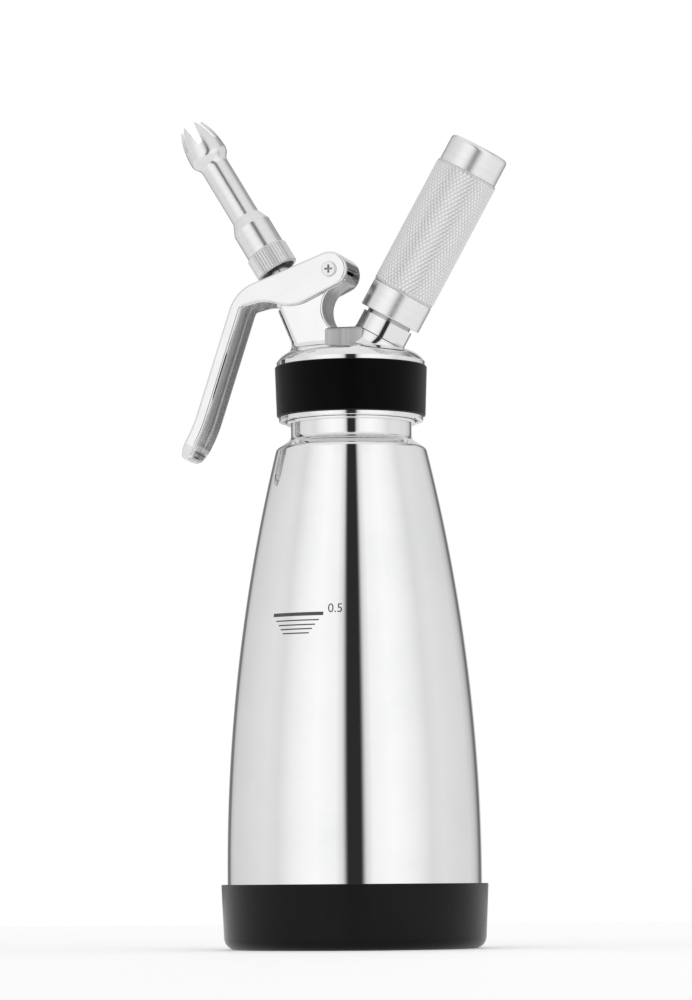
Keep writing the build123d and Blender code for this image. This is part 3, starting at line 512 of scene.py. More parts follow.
def distance_from_axis(tree, place, axis="z"):
    """Distance of a point from one axis of its own coordinates."""
    parts = add_node(tree, "ShaderNodeSeparateXYZ", i0=place)
    across = [parts.outputs[n] for n in range(3) if "xyz"[n] != axis]
    squares = [calculated(tree, "MULTIPLY", part, part) for part in across]
    return calculated(tree, "SQRT", calculated(tree, "ADD", *squares))


def inside_range(tree, value, low, high):
    """1 where the value, in metres, lies between two limits in millimetres, else 0."""
    above = calculated(tree, "GREATER_THAN", value, low * MM)
    return calculated(tree, "MULTIPLY", above, calculated(tree, "LESS_THAN", value, high * MM))


def overlay(finish, amount, colour, roughness):
    """Where the amount is 1, this colour and roughness take the place of the finish's own."""
    tree, shader = finish.node_tree, finish.node_tree.nodes["Principled BSDF"]
    own_colour = shader.inputs["Base Color"].links[0].from_socket
    own_roughness = shader.inputs["Roughness"].links[0].from_socket
    colours = add_node(tree, "ShaderNodeMix", {"data_type": "RGBA"}, i0=amount, i6=own_colour, i7=colour)
    mixed = add_node(tree, "ShaderNodeMix", i0=amount, i2=own_roughness, i3=roughness)
    tree.links.new(colours.outputs[2], shader.inputs["Base Color"])
    tree.links.new(mixed.outputs[0], shader.inputs["Roughness"])


BRUSHING = build_brushing()
HEAD_STEEL = polished_finish("polished cast steel", (0.80, 0.80, 0.80), (0.73, 0.735, 0.74),
                             roughness=0.04, smudge_gain=0.03, ripple=0.04, hairline=0.05)
head_tree = HEAD_STEEL.node_tree
head_place = head_tree.nodes["Texture Coordinate"].outputs["Object"]
place_x, place_y, place_z = add_node(head_tree, "ShaderNodeSeparateXYZ", i0=head_place).outputs
arch_place = add_node(head_tree, "ShaderNodeMapping", {"vector_type": "TEXTURE"}, Vector=head_place,
                      Location=(SATIN_ARCH_X * MM, 0, SATIN_ARCH_Z * MM)).outputs[0]
from_arch = distance_from_axis(head_tree, arch_place, "y")
satin_arch = calculated(head_tree, "MULTIPLY", inside_range(head_tree, from_arch, 0, SATIN_ARCH_R),
                        inside_range(head_tree, place_y, -SATIN_ARCH_HALF, SATIN_ARCH_HALF))
satin_plinth = None
for value, (low, high) in zip((place_x, place_y, place_z), SATIN_PLINTH):
    inside = inside_range(head_tree, value, low, high)
    satin_plinth = calculated(head_tree, "MULTIPLY", satin_plinth, inside) if satin_plinth else inside
satin_and_painted_shade = calculated(head_tree, "MAXIMUM", satin_arch, satin_plinth)
brushed = add_node(head_tree, "ShaderNodeGroup", {"node_tree": BRUSHING}, Vector=head_place).outputs[0]
# Painted shade and satin finish: the satin places get a dark brushed grey.
overlay(HEAD_STEEL, satin_and_painted_shade, blended(head_tree, brushed, SATIN_AND_SHADE_DARK, SATIN_AND_SHADE_LIGHT), roughness=0.36)
boss_place = add_node(head_tree, "ShaderNodeMapping", {"vector_type": "TEXTURE"}, Vector=head_place,
                      Location=(0, 0, CROSS_Z * MM), Rotation=(0, radians(CHARGER_TILT), 0)).outputs[0]
along_boss = add_node(head_tree, "ShaderNodeSeparateXYZ", i0=boss_place).outputs[2]
from_boss = distance_from_axis(head_tree, boss_place)
# Painted shade: a dark, rougher ring round the boss where a groove would be.
painted_groove_shade = calculated(head_tree, "MULTIPLY", inside_range(head_tree, from_boss, 0, GROOVE_WITHIN),
                    inside_range(head_tree, along_boss, GROOVE_AT, GROOVE_AT + GROOVE_WIDE))
overlay(HEAD_STEEL, painted_groove_shade, PAINTED_GROOVE_SHADE_COLOUR, roughness=0.3)
repaint(HEAD_STEEL, "head_body")


# ---- Seals ----
# Soft rings and discs of red-brown silicone: the head's gasket, the O-ring and the seal on the
# valve's stem, the seal round the piercing pin, and the umbrella valve under the charger.
SILICONE = moulded_finish("seal silicone", (0.34, 0.05, 0.03), (0.42, 0.16, 0.12), roughness=0.42,
                          grain_scale=3200.0, relief=0.2)
repaint(SILICONE, "head_gasket", "stem_oring", "valve_seal", "pin_seal", "check_valve")


# ---- Collar grip ----
# A sleeve of black soft plastic in the groove round the head, moulded with a slight taper so
# that a hand can unscrew the head. Its edges are rounded and it is dull.
GRIP_INNER_R = 23.43
GRIP_LOW = 179.93
GRIP_HIGH = 197.12
GRIP_BOTTOM_R = 25.3
GRIP_TOP_R = 25.9
GRIP_ROUND = 0.6
GRIP_PLASTIC = moulded_finish("collar grip rubber", (0.001, 0.001, 0.0011), (0.003, 0.003, 0.0032),
                              roughness=0.3, grain_scale=2600.0, relief=0.12, gloss=0.02, sheen=0.16)
grip = turn_section(draw_section([
    (GRIP_INNER_R, GRIP_LOW), (GRIP_BOTTOM_R, GRIP_LOW, GRIP_ROUND), (GRIP_TOP_R, GRIP_HIGH, GRIP_ROUND),
    (GRIP_INNER_R, GRIP_HIGH)]))
grip = finished("collar_grip_sleeve", grip, "head")
dress(grip, GRIP_PLASTIC)
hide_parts("collar_grip")


# ---- Valve ----
# Turned stainless steel: a hollow stem that slides in a white plastic bush, a coil spring on a
# washer, the cap that the lever presses, and a washer and nut that hold the seal on the stem.

# The lathe's lines are counted up the axis and, LINE_SLIP times as fast, out from it. Their bands
# are counted LINE_BAND times as fast as they are, and weigh BAND_SHARE against the smudges.
LINE_SLIP = 1.3
LINE_BAND = 0.08
BAND_RANGE = (0.3, 0.7)
BAND_SHARE = 0.4
LINE_HEIGHT = 0.02
LINES_PER_METRE = 9000.0
HAIRLINE_CUT = 0.5


def tilted(angle):
    """The frame of an axis that crosses the bottle's axis and leans to that side."""
    return Matrix.Translation((0, 0, CROSS_Z * MM)) @ Matrix.Rotation(radians(angle), 4, "Y")


def build_turning_lines():
    """Fine rings that a lathe tool leaves round an axis, as a height and as light and dark bands."""
    group, source, result = new_group(
        "turning lines",
        [("Vector", "NodeSocketVector", None), ("Lines per metre", "NodeSocketFloat", LINES_PER_METRE)],
        [("Height", "NodeSocketFloat"), ("Bands", "NodeSocketFloat")])
    radius = distance_from_axis(group, source.outputs["Vector"])
    height = add_node(group, "ShaderNodeSeparateXYZ", i0=source.outputs["Vector"]).outputs[2]
    along = calculated(group, "MULTIPLY_ADD", radius, LINE_SLIP, height)
    turns = calculated(group, "MULTIPLY", along, source.outputs["Lines per metre"])
    rings = add_node(group, "ShaderNodeTexNoise", {"noise_dimensions": "1D"}, W=turns, Scale=1.0,
                     Detail=2.0)
    bands = add_node(group, "ShaderNodeTexNoise", {"noise_dimensions": "1D"}, Scale=1.0, Detail=3.0,
                     W=calculated(group, "MULTIPLY", turns, LINE_BAND))
    group.links.new(rings.outputs["Fac"], result.inputs["Height"])
    group.links.new(remapped(group, bands.outputs["Fac"], *BAND_RANGE), result.inputs["Bands"])
    return group


def turned_finish(name, colour, worn, roughness, spread, relief, tilt):
    """Machined metal with turning lines round its own axis, smudges and a few hairlines."""
    finish, tree, shader, place = new_finish(name)
    own_axis = add_node(tree, "ShaderNodeMapping", {"vector_type": "TEXTURE"}, Vector=place,
                        Location=(0, 0, CROSS_Z * MM), Rotation=(0, radians(tilt), 0)).outputs[0]
    lathe = add_node(tree, "ShaderNodeGroup", {"node_tree": TURNING_LINES}, Vector=own_axis)
    marks = add_node(tree, "ShaderNodeGroup", {"node_tree": HANDLING_MARKS}, Vector=own_axis)
    wear = calculated(tree, "MULTIPLY_ADD", lathe.outputs["Bands"], BAND_SHARE,
                      calculated(tree, "MULTIPLY", marks.outputs["Smudges"], 1 - BAND_SHARE))
    tree.links.new(blended(tree, wear, colour, worn), shader.inputs["Base Color"])
    dulled = calculated(tree, "MULTIPLY_ADD", wear, spread, roughness)
    tree.links.new(dulled, shader.inputs["Roughness"])
    height = calculated(tree, "MULTIPLY_ADD", marks.outputs["Hairlines"], -HAIRLINE_CUT,
                        lathe.outputs["Height"])
    bump = add_node(tree, "ShaderNodeBump", Height=height, Strength=relief, Distance=LINE_HEIGHT * MM)
    tree.links.new(bump.outputs["Normal"], shader.inputs["Normal"])
    shader.inputs["Metallic"].default_value = 1.0
    return finish


TURNING_LINES = build_turning_lines()
VALVE_STEEL = turned_finish("turned steel", (0.72, 0.72, 0.71), (0.62, 0.62, 0.61), roughness=0.18,
                            spread=0.10, relief=0.25, tilt=-VALVE_TILT)
BUSH_PLASTIC = moulded_finish("bush plastic", (0.80, 0.79, 0.76), (0.70, 0.69, 0.66), roughness=0.35,
                              grain_scale=2400.0, relief=0.15)
repaint(VALVE_STEEL, "valve_stem", "seal_washer", "seal_nut", "spring_cap", "spring_washer", "valve_spring")
repaint(BUSH_PLASTIC, "guide_bush")


# ---- Boss foot and plinth ----
# Part of the head's casting. The boss flows out into the dome below a ring of painted shade that stands
# for a fine turned groove, and the saddle between boss and post is milled flat, brushed satin and
# darkened with painted shade.

# The flare stands FLARE_PROUD out of the boss, spreads by FLARE_REACH of its height over the dome,
# and is sunk in both. Its foot is looked for down the boss's side in steps of FLARE_SEARCH.
CHARGER_AXIS = tilted(CHARGER_TILT)
BOSS_R = 9.05
FLARE_PROUD = 0.14
FLARE_REACH = 0.40
FLARE_SMALLEST = 0.7
FLARE_SUNK = 0.5
FLARE_SEARCH = 0.05
FLARE_STEPS = 96
FLARE_RUNS = 8
CROWN_R = 192.65
CROWN_TOP = 203.5
SHOULDER_FROM = 18.6
SHOULDER_ARC = (17.73, 193.66, 8.98)
PLINTH = ((-6.8, 6.4), (-8.9, 8.9), (202.4, 210.0))
PLINTH_EDGE = 1.5
PLINTH_SIDE_EDGE = 0.35
PLINTH_UPRIGHT = 3
PLINTH_ROUGHNESS = (0.40, 0.32)


def dome_height(point):
    """Height of the head's dome under or over a point, in metres."""
    radius = point.xy.length / MM
    if radius < SHOULDER_FROM:
        return (CROWN_TOP - CROWN_R + sqrt(CROWN_R ** 2 - radius ** 2)) * MM
    centre, height, arc = SHOULDER_ARC
    return (height + sqrt(arc ** 2 - min(radius - centre, arc) ** 2)) * MM


def on_boss(out, at, more=0.0):
    """Point on the boss's side, at this height along its axis and this far outside it."""
    return CHARGER_AXIS @ ((Vector((0, 0, at)) + out * (BOSS_R + more)) * MM)


def flare_section(turn):
    """Closed section of the boss's foot at one angle: a hollow curve from the painted groove line to the
    dome.
    """
    out = Vector((cos(turn), sin(turn), 0))
    at = GROOVE_AT
    while on_boss(out, at).z > dome_height(on_boss(out, at)):
        at -= FLARE_SEARCH
    rise = max(GROOVE_AT - at, FLARE_SMALLEST)
    corner = on_boss(out, at, FLARE_PROUD)
    top = on_boss(out, at + rise, FLARE_PROUD)
    away = CHARGER_AXIS.to_3x3() @ out
    away.z = 0
    foot = corner + away.normalized() * rise * FLARE_REACH * MM
    foot.z = dome_height(foot)
    curve = []
    for i in range(FLARE_RUNS + 1):
        t = i / FLARE_RUNS
        curve.append(top * (1 - t) ** 2 + corner * 2 * t * (1 - t) + foot * t ** 2)
    inwards = CHARGER_AXIS.to_3x3() @ out * -FLARE_SUNK * MM
    down = Vector((0, 0, -FLARE_SUNK * MM))
    return curve + [foot + down, corner + inwards * 2 + down, top + inwards]


flare = bmesh.new()
loops = []
for i in range(FLARE_STEPS):
    loops.append([flare.verts.new(point) for point in flare_section(2 * pi * i / FLARE_STEPS)])
for i, loop in enumerate(loops):
    following = loops[(i + 1) % FLARE_STEPS]
    for j in range(len(loop)):
        k = (j + 1) % len(loop)
        flare.faces.new((loop[j], loop[k], following[k], following[j]))
bmesh.ops.recalc_face_normals(flare, faces=flare.faces)
flare = finished("boss_foot", flare, "head")
dress(flare, HEAD_STEEL)

plinth = bmesh.new()
bmesh.ops.create_cube(plinth, size=1.0)
for axis, (low, high) in enumerate(PLINTH):
    for vert in plinth.verts:
        vert.co[axis] = (high if vert.co[axis] > 0 else low) * MM
plinth_top = (PLINTH[2][1] - NEAR) * MM
top_edges = [edge for edge in plinth.edges if all(vert.co.z > plinth_top for vert in edge.verts)]
bmesh.ops.bevel(plinth, geom=top_edges, affect="EDGES", offset=PLINTH_EDGE * MM, segments=4,
                profile=0.5, material=-1)
upright = [edge for edge in plinth.edges
           if abs(edge.verts[0].co.z - edge.verts[1].co.z) > PLINTH_UPRIGHT * MM]
side_edges = [edge for edge in upright if all(vert.co.x < 0 for vert in edge.verts)]
bmesh.ops.bevel(plinth, geom=side_edges, affect="EDGES", offset=PLINTH_SIDE_EDGE * MM, segments=2,
                profile=0.5, material=-1)
plinth = finished("saddle_block", plinth, "head")
# The saddle block's brushed satin carries the same painted shade in its dark grey.
SATIN_STEEL_WITH_PAINTED_SHADE, satin_tree, satin_shader, satin_place = new_finish("satin cast steel with painted shade")
brushed = add_node(satin_tree, "ShaderNodeGroup", {"node_tree": BRUSHING}, Vector=satin_place).outputs[0]
satin_tree.links.new(blended(satin_tree, brushed, SATIN_AND_SHADE_DARK, SATIN_AND_SHADE_LIGHT), satin_shader.inputs["Base Color"])
satin_tree.links.new(remapped(satin_tree, brushed, 0, 1, *PLINTH_ROUGHNESS), satin_shader.inputs["Roughness"])
satin_shader.inputs["Metallic"].default_value = 1.0
dress(plinth, SATIN_STEEL_WITH_PAINTED_SHADE)


# ---- Lever ----
# Pressed from one sheet of stainless steel: a web with two side plates folded down from it. The
# handle hangs beside the bottle. Polished outside; inside, the press has left it grey and streaked,
# and a painted highlight runs along the inside folds.
PLATE_INSIDE = 8.1
FOLD_FROM = 7.2
FOLD_TO = 7.9
LEVER_PIVOT = Vector((-4.9, 0, 229.7)) * MM
END_INSIDE_R = 5.2
INWARD = Vector((0.7, 0, -0.7))
PLATE_FACING = 0.9
WEB_FACING = 0.25
HANDLE_LEAN = 18.3
PRESSED_DARK = (0.40, 0.40, 0.405)
PRESSED_LIGHT = (0.90, 0.90, 0.90)
PRESSED_ROUGHNESS = (0.30, 0.20)
PAINTED_FOLD_HIGHLIGHT_COLOUR = (0.98, 0.98, 0.98, 1)
LEVER_STEEL = polished_finish("polished sheet steel", (0.77, 0.77, 0.77), (0.71, 0.715, 0.72),
                              roughness=0.05, smudge_gain=0.03, ripple=0.04, hairline=0.05)
PRESSED_STEEL, pressed_tree, pressed_shader, pressed_place = new_finish("pressed sheet steel")
along_handle = add_node(pressed_tree, "ShaderNodeMapping", Vector=pressed_place,
                        Rotation=(0, radians(-HANDLE_LEAN), 0)).outputs[0]
streaks = add_node(pressed_tree, "ShaderNodeGroup", {"node_tree": BRUSHING}, Vector=along_handle).outputs[0]
pressed_tree.links.new(blended(pressed_tree, streaks, PRESSED_DARK, PRESSED_LIGHT),
                       pressed_shader.inputs["Base Color"])
pressed_tree.links.new(remapped(pressed_tree, streaks, 0, 1, *PRESSED_ROUGHNESS),
                       pressed_shader.inputs["Roughness"])
pressed_shader.inputs["Metallic"].default_value = 1.0
pressed_y = add_node(pressed_tree, "ShaderNodeSeparateXYZ", i0=pressed_place).outputs[1]
# Painted highlight: a near-white band along the inside folds between the web and the plates.
painted_fold_highlight = inside_range(pressed_tree, calculated(pressed_tree, "ABSOLUTE", pressed_y), FOLD_FROM, FOLD_TO)
overlay(PRESSED_STEEL, painted_fold_highlight, PAINTED_FOLD_HIGHLIGHT_COLOUR, roughness=0.6)

lever = bmesh.new()
lever.from_mesh(cad["lever"].data)
bmesh.ops.transform(lever, matrix=cad["lever"].matrix_world, verts=lever.verts)
bmesh.ops.remove_doubles(lever, verts=lever.verts, dist=WELD * MM)
bmesh.ops.recalc_face_normals(lever, faces=lever.faces)
for face in lever.faces:
    middle = face.calc_center_median()
    plate = abs(face.normal.y) > PLATE_FACING
    inside_end = (middle - LEVER_PIVOT).xz.length < END_INSIDE_R * MM
    web = face.normal.dot(INWARD) > WEB_FACING and (middle.x < LEVER_PIVOT.x or inside_end)
    if abs(middle.y) < (PLATE_INSIDE + NEAR) * MM and (plate or web):
        face.material_index = 1
lever = finished("lever_sheet", lever, "lever", crease=28)
dress(lever, LEVER_STEEL)
lever.data.materials.append(PRESSED_STEEL)
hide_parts("lever")


# ---- Pivot pin and screw ----
# A shouldered barrel from the far side and a screw from the near side, both of steel with low
# round heads and a cross recess, sunk in the lever's plates.
RECESS_R = 1.6
RECESS_FLOOR = 9.63
RECESS_TOP = 10.3
PAINTED_RECESS_SHADE_COLOUR = (0.26, 0.26, 0.26, 1)
SCREW_STEEL = polished_finish("screw steel", (0.74, 0.74, 0.73), (0.60, 0.60, 0.59), roughness=0.12,
                              smudge_gain=0.08, hairline=0.06)
screw_tree = SCREW_STEEL.node_tree
screw_place = add_node(screw_tree, "ShaderNodeMapping", {"vector_type": "TEXTURE"}, Location=LEVER_PIVOT,
                       Vector=screw_tree.nodes["Texture Coordinate"].outputs["Object"]).outputs[0]
screw_y = add_node(screw_tree, "ShaderNodeSeparateXYZ", i0=screw_place).outputs[1]
# Painted shade: the cross recess grows darker towards its floor.
depth = remapped(screw_tree, calculated(screw_tree, "ABSOLUTE", screw_y), RECESS_TOP * MM, RECESS_FLOOR * MM)
in_recess = inside_range(screw_tree, distance_from_axis(screw_tree, screw_place, "y"), 0, RECESS_R)
painted_recess_shade = calculated(screw_tree, "MULTIPLY", depth, in_recess)
overlay(SCREW_STEEL, painted_recess_shade, PAINTED_RECESS_SHADE_COLOUR, roughness=0.3)
repaint(SCREW_STEEL, "pivot_pin", "pivot_screw")


# ---- Nozzle ----
# Turned from aluminium and left satin: a ring with straight ridges screws onto the stem, and the
# tip over it swells into a bulb that is sawn into six prongs, so that the cream comes out fluted.
RING_R = 7.4
RING_BORE_R = 6.2
RING_AT = 49.5
RING_TOP = 57.6
RING_CHAMFER = 0.45
RIDGES = 44
STEPS_PER_RIDGE = 6
RIDGE_DEPTH = 0.3
RIDGE_FLAT = 0.35
NOZZLE_ALUMINIUM = turned_finish("satin nozzle aluminium", (0.77, 0.77, 0.77), (0.71, 0.71, 0.71),
                                 roughness=0.22, spread=0.05, relief=0.05, tilt=-VALVE_TILT)
ring = turn_section(draw_section([
    (RING_BORE_R, RING_AT), (RING_R - RING_CHAMFER, RING_AT), (RING_R, RING_AT + RING_CHAMFER),
    (RING_R, RING_TOP - RING_CHAMFER), (RING_R - RING_CHAMFER, RING_TOP), (RING_BORE_R, RING_TOP)]),
    steps=RIDGES * STEPS_PER_RIDGE)
for vert in ring.verts:
    if vert.co.xy.length > (RING_R - 0.5 * RING_CHAMFER) * MM:
        turn = atan2(vert.co.y, vert.co.x) / (2 * pi) * RIDGES % 1
        across = abs(turn - 0.5) * 2
        sunk = RIDGE_DEPTH * max(0.0, (across - RIDGE_FLAT) / (1 - RIDGE_FLAT))
        vert.co.xy *= 1 - sunk / RING_R
ring = finished("nozzle_ridged_ring", ring, "nozzle", tilted(-VALVE_TILT), crease=25)
RIDGED_ALUMINIUM = turned_finish("ridged aluminium", (0.72, 0.72, 0.72), (0.67, 0.67, 0.67),
                                 roughness=0.36, spread=0.06, relief=0.05, tilt=-VALVE_TILT)
dress(ring, RIDGED_ALUMINIUM)
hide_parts("nozzle_ring")
repaint(NOZZLE_ALUMINIUM, "nozzle_tip")


# ---- Charger socket and piercing pin ----
# Nickel-plated brass, screwed into the boss: a threaded spigot for the holder, with a cone that
# guides the charger's neck onto a hollow steel pin.
SOCKET_SPIGOT_R = 6.5
SOCKET_LOW = 19.53
SOCKET_UNDER = 26.93
SOCKET_NECK_R = 8.0
SOCKET_NECK_TOP = 28.4
SOCKET_ROOT_R = 8.8
SOCKET_THREAD_R = 9.35
SOCKET_TOP = 35.5
SOCKET_MOUTH_R = 7.7
SOCKET_BORE_R = 4.9
SOCKET_BORE_AT = 24.0
SOCKET_CONE_AT = 31.0
SOCKET_CHAMFER = 0.5
PIN_HOLE_R = 1.23
FLANGE_POCKET_R = 2.63
FLANGE_POCKET_TOP = 21.56
SOCKET_PITCH = 1.5
SOCKET_TURNS = 3.6
SOCKET_THREAD_LOW = 29.2
# The nickel's grey is darkened as painted shade for the narrow neck between the boss and the holder.
NICKEL_AND_PAINTED_SHADE = turned_finish("nickel plate darkened as painted shade", (0.46, 0.46, 0.46), (0.36, 0.36, 0.36), roughness=0.16,
                       spread=0.10, relief=0.2, tilt=CHARGER_TILT)
PIN_STEEL = turned_finish("pin steel", (0.70, 0.70, 0.69), (0.60, 0.60, 0.59), roughness=0.16,
                          spread=0.10, relief=0.2, tilt=CHARGER_TILT)
socket = turn_section(draw_section([
    (FLANGE_POCKET_R, SOCKET_LOW), (SOCKET_SPIGOT_R, SOCKET_LOW), (SOCKET_SPIGOT_R, SOCKET_UNDER),
    (SOCKET_NECK_R, SOCKET_UNDER), (SOCKET_NECK_R, SOCKET_NECK_TOP), (SOCKET_ROOT_R, SOCKET_NECK_TOP),
    (SOCKET_ROOT_R, SOCKET_TOP - SOCKET_CHAMFER), (SOCKET_ROOT_R - SOCKET_CHAMFER, SOCKET_TOP),
    (SOCKET_MOUTH_R, SOCKET_TOP), (SOCKET_BORE_R, SOCKET_CONE_AT), (SOCKET_BORE_R, SOCKET_BORE_AT),
    (PIN_HOLE_R, SOCKET_BORE_AT), (PIN_HOLE_R, FLANGE_POCKET_TOP), (FLANGE_POCKET_R, FLANGE_POCKET_TOP)]),
    steps=128)
socket = finished("charger_socket_core", socket, "head", tilted(CHARGER_TILT))
dress(socket, NICKEL_AND_PAINTED_SHADE)
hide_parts("charger_socket")
socket_thread = helical_thread(SOCKET_ROOT_R, SOCKET_THREAD_R, SOCKET_PITCH, SOCKET_TURNS,
                               SOCKET_THREAD_LOW)
socket_thread = finished("charger_socket_thread", socket_thread, "head", tilted(CHARGER_TILT))
dress(socket_thread, NICKEL_AND_PAINTED_SHADE)
repaint(PIN_STEEL, "piercing_pin")


# ---- Charger holder ----
# Turned from aluminium bar and bored for the charger. A smooth band surrounds its thread, a
# diamond knurl covers the middle, and the closed end is smooth with a round edge.
HOLDER_MOUTH = 28.1
BAND_R = 10.9
BAND_TOP = 37.5
BAND_CHAMFER = 0.35
KNURL_CORE_R = 10.55
KNURL_VALLEY_R = 10.86
KNURL_PEAK_R = 11.1
KNURL_TOP = 84.2
KNURL_CHAMFER = 0.45
HOLDER_END_R = 10.45
HOLDER_TOP = 93.6
HOLDER_ROUND = 1.4
HOLDER_BORE_R = 9.15
HOLDER_BORE_TOP = 91.2
HOLDER_BORE_ROUND = 2.5
HOLDER_THREAD_R = 9.45
HOLDER_THREAD_TOP = 36.5
KNURLS_ROUND = 49
KNURL_ROWS = 21
KNURL_SUNK = 0.2
KNURL_INSET = 0.3
PAINTED_VALLEY_SHADE_COLOUR = (0.62, 0.62, 0.62, 1)
HOLDER_ALUMINIUM = turned_finish("satin holder aluminium", (0.79, 0.79, 0.79), (0.74, 0.74, 0.74),
                                 roughness=0.28, spread=0.05, relief=0.06, tilt=CHARGER_TILT)
holder = turn_section(draw_section([
    (HOLDER_THREAD_R, HOLDER_MOUTH), (BAND_R, HOLDER_MOUTH, BAND_CHAMFER), (BAND_R, BAND_TOP, BAND_CHAMFER),
    (KNURL_CORE_R, BAND_TOP), (KNURL_CORE_R, KNURL_TOP - KNURL_CHAMFER), (HOLDER_END_R, KNURL_TOP),
    (HOLDER_END_R, HOLDER_TOP, HOLDER_ROUND), (0, HOLDER_TOP), (0, HOLDER_BORE_TOP),
    (HOLDER_BORE_R, HOLDER_BORE_TOP, HOLDER_BORE_ROUND), (HOLDER_BORE_R, HOLDER_THREAD_TOP),
    (HOLDER_THREAD_R, HOLDER_THREAD_TOP)]), steps=192)
holder = finished("holder_tube", holder, "charger_holder", tilted(CHARGER_TILT))
dress(holder, HOLDER_ALUMINIUM)
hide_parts("charger_holder")

# A grid of points wraps the knurl. Every second point is a valley, and the others are drawn out to
# peaks, apart from the first and the last row. Edges join the valleys into diamonds.
knurl_low = BAND_TOP + KNURL_CHAMFER
knurl_high = KNURL_TOP - KNURL_CHAMFER
columns = 2 * KNURLS_ROUND
rows = 2 * KNURL_ROWS
row_height = (knurl_high - knurl_low) / rows
wall = [(KNURL_VALLEY_R, knurl_low + row_height * i) for i in range(rows + 1)]
knurl = turn_section(draw_section([
    (KNURL_CORE_R - KNURL_SUNK, BAND_TOP - NEAR), (BAND_R - KNURL_INSET, BAND_TOP - NEAR), *wall,
    (HOLDER_END_R, KNURL_TOP), (KNURL_CORE_R - KNURL_SUNK, KNURL_TOP)]), steps=columns)
valleys = []
for vert in knurl.verts:
    column = round((atan2(vert.co.y, vert.co.x) / (2 * pi) % 1) * columns) % columns
    row = round((vert.co.z / MM - knurl_low) / row_height)
    on_wall = abs(vert.co.xy.length / MM - KNURL_VALLEY_R) < NEAR
    if on_wall and (column + row) % 2:
        valleys.append(vert)
    elif on_wall and 0 < row < rows:
        vert.co.xy *= KNURL_PEAK_R / KNURL_VALLEY_R
bmesh.ops.connect_verts(knurl, verts=valleys)
knurl = finished("holder_knurl", knurl, "charger_holder", tilted(CHARGER_TILT), crease=6)
KNURL_ALUMINIUM = turned_finish("knurled aluminium", (0.93, 0.93, 0.93), (0.89, 0.89, 0.89),
                                roughness=0.38, spread=0.05, relief=0.02, tilt=CHARGER_TILT)
knurl_tree = KNURL_ALUMINIUM.node_tree
# Painted shade: the knurl's valleys are a darker grey than its peaks.
from_axis = distance_from_axis(knurl_tree, knurl_tree.nodes["Mapping"].outputs[0])
painted_valley_shade = remapped(knurl_tree, from_axis, KNURL_PEAK_R * MM, KNURL_VALLEY_R * MM)
overlay(KNURL_ALUMINIUM, painted_valley_shade, PAINTED_VALLEY_SHADE_COLOUR, roughness=0.45)
dress(knurl, KNURL_ALUMINIUM)


# ---- Gas charger ----
# A deep-drawn steel capsule of gas, zinc plated, with a narrow neck that the pin pierces. It is
# dropped into the holder before the holder is screwed on.
ZINC = turned_finish("zinc plated steel", (0.66, 0.67, 0.68), (0.54, 0.55, 0.56), roughness=0.26,
                     spread=0.14, relief=0.15, tilt=CHARGER_TILT)
repaint(ZINC, "gas_charger")


# ---- Studio: floor, light and camera ----
# A pale floor in a white tent of soft light. The tent has a narrow dark gap where the camera
# looks in, and is darker behind the object, which is what polished metal shows.
CAMERA_AZIMUTH = 14.5
CAMERA_AWAY = 1440.0
CAMERA_Z = 22.5
AIM_Z = 151.65
AIM_LEFT = 2.0
CAMERA_ROLL = -0.45
PIXEL_AT_AIM = 0.3396
PICTURE_TALL = 1000
SENSOR_TALL = 36.0

# Brightness of the tent by the angle from the camera, in degrees, from far left to far right, for
# its walls and for the band over them. Each range holds the sines of the angles of elevation where
# the walls turn into that band, and the band into the ceiling.
TENT = ((-180, 0.6), (-171, 0.5), (-164, 0.2), (-155, 0.2), (-149, 0.64), (-140, 0.76), (-106, 0.88),
        (-89, 0.92), (-74, 0.88), (-60, 1.05), (-47, 1.15), (-35, 1.20), (-17, 1.12), (-10.5, 0.85),
        (-6.5, 0.03), (6.5, 0.03), (10.5, 0.85), (17, 1.12), (35, 1.20), (47, 1.15), (60, 1.05),
        (74, 0.88), (89, 0.92), (106, 0.88), (128, 0.83), (139, 0.70), (146, 0.52), (154, 0.18),
        (161, 0.18), (167, 0.75), (180, 0.75))
HIGH_TENT = ((-180, 0.8), (-172, 0.7), (-165, 0.35), (-155, 0.35), (-149, 0.65), (-110, 0.8),
             (-60, 1.0), (-11, 0.95), (-6.5, 0.03), (6.5, 0.03), (11, 0.95), (60, 1.0), (85, 0.85),
             (105, 0.45), (140, 0.25), (152, 0.4), (161, 0.85), (180, 0.8))
HIGH_RANGE = (0.52, 0.60)
CEILING_RANGE = (0.62, 0.85)
CEILING = (0.95, 0.95, 0.95, 1)
BACKDROP = (1, 1, 1, 1)
FLOOR_R = 850.0
FLOOR_LIGHT = (0.90, 0.90, 0.90)
FLOOR_DARK = (0.88, 0.88, 0.88)
FLOOR_PATCHES = 30.0
FLOOR_GLOW = 0.22

floor_mesh = bpy.data.meshes.new("studio_floor")
floor_bm = bmesh.new()
bmesh.ops.create_circle(floor_bm, cap_ends=True, segments=96, radius=FLOOR_R * MM)
floor_bm.to_mesh(floor_mesh)
floor_bm.free()
floor = bpy.data.objects.new("studio_floor", floor_mesh)
bpy.context.scene.collection.objects.link(floor)
PALE_FLOOR, floor_tree, floor_shader, floor_place = new_finish("pale floor")
floor_patches = noise(floor_tree, floor_place, FLOOR_PATCHES, detail=3.0)
floor_tree.links.new(blended(floor_tree, floor_patches, FLOOR_LIGHT, FLOOR_DARK),
                     floor_shader.inputs["Base Color"])
floor_shader.inputs["Roughness"].default_value = 0.6
floor_shader.inputs["Emission Color"].default_value = (1, 1, 1, 1)
floor_shader.inputs["Emission Strength"].default_value = FLOOR_GLOW
floor_mesh.materials.append(PALE_FLOOR)

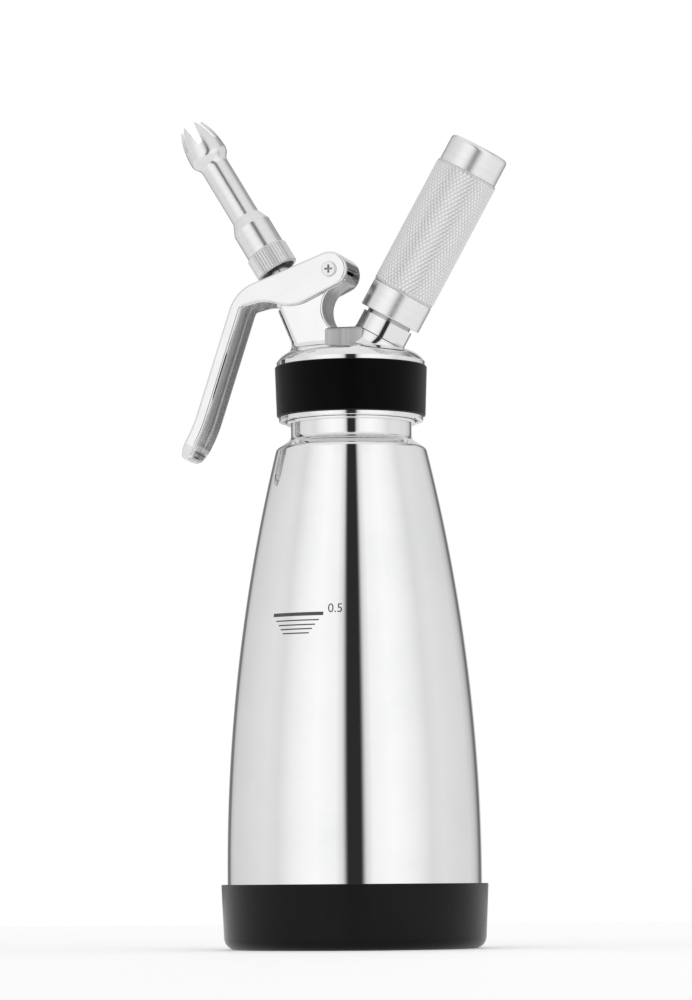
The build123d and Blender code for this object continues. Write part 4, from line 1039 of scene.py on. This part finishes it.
world = bpy.data.worlds.new("studio tent")
bpy.context.scene.world = world
world.use_nodes = True
sky = world.node_tree
sky.nodes.clear()
direction = sky.nodes.new("ShaderNodeTexCoord").outputs["Generated"]
to_camera = add_node(sky, "ShaderNodeMapping", {"vector_type": "POINT"}, Vector=direction,
                     Rotation=(0, 0, radians(90 - CAMERA_AZIMUTH))).outputs[0]
parts = add_node(sky, "ShaderNodeSeparateXYZ", i0=to_camera)
off_camera = calculated(sky, "ARCTAN2", parts.outputs[1], parts.outputs[0])
round_tent = calculated(sky, "MULTIPLY_ADD", off_camera, 0.5 / pi, 0.5)
walls = []
for levels in (TENT, HIGH_TENT):
    wall = add_node(sky, "ShaderNodeValToRGB", Fac=round_tent)
    stops = wall.color_ramp.elements
    while len(stops) < len(levels):
        stops.new(0.5)
    for stop, (angle, light) in zip(stops, levels):
        stop.position = 0.5 + angle / 360
        stop.color = (light, light, light, 1)
    walls.append(wall.outputs[0])
high = remapped(sky, parts.outputs[2], *HIGH_RANGE)
both_walls = add_node(sky, "ShaderNodeMix", {"data_type": "RGBA"}, i0=high, i6=walls[0], i7=walls[1])
overhead = remapped(sky, parts.outputs[2], *CEILING_RANGE)
inside_tent = add_node(sky, "ShaderNodeMix", {"data_type": "RGBA"}, i0=overhead,
                       i6=both_walls.outputs[2], i7=CEILING).outputs[2]
seen = sky.nodes.new("ShaderNodeLightPath").outputs["Is Camera Ray"]
tent_light = add_node(sky, "ShaderNodeBackground", Color=inside_tent, Strength=1.0)
backdrop = add_node(sky, "ShaderNodeBackground", Color=BACKDROP, Strength=1.0)
shown = add_node(sky, "ShaderNodeMixShader", Fac=seen)
sky.links.new(tent_light.outputs[0], shown.inputs[1])
sky.links.new(backdrop.outputs[0], shown.inputs[2])
output = sky.nodes.new("ShaderNodeOutputWorld")
sky.links.new(shown.outputs[0], output.inputs["Surface"])

azimuth = radians(CAMERA_AZIMUTH)
eye = Vector((sin(azimuth) * CAMERA_AWAY, -cos(azimuth) * CAMERA_AWAY, CAMERA_Z)) * MM
aim = Vector((-cos(azimuth) * AIM_LEFT, -sin(azimuth) * AIM_LEFT, AIM_Z)) * MM
lens = bpy.data.cameras.new("camera")
lens.sensor_width = SENSOR_TALL
lens.lens = (aim - eye).length / (PIXEL_AT_AIM * MM) * SENSOR_TALL / PICTURE_TALL
lens.clip_start = 0.05
lens.clip_end = 50.0
camera = bpy.data.objects.new("camera", lens)
bpy.context.scene.collection.objects.link(camera)
facing = (aim - eye).to_track_quat("-Z", "Y").to_matrix().to_4x4()
camera.matrix_world = Matrix.Translation(eye) @ facing @ Matrix.Rotation(radians(CAMERA_ROLL), 4, "Z")
bpy.context.scene.camera = camera
bpy.context.scene.view_settings.view_transform = "Standard"
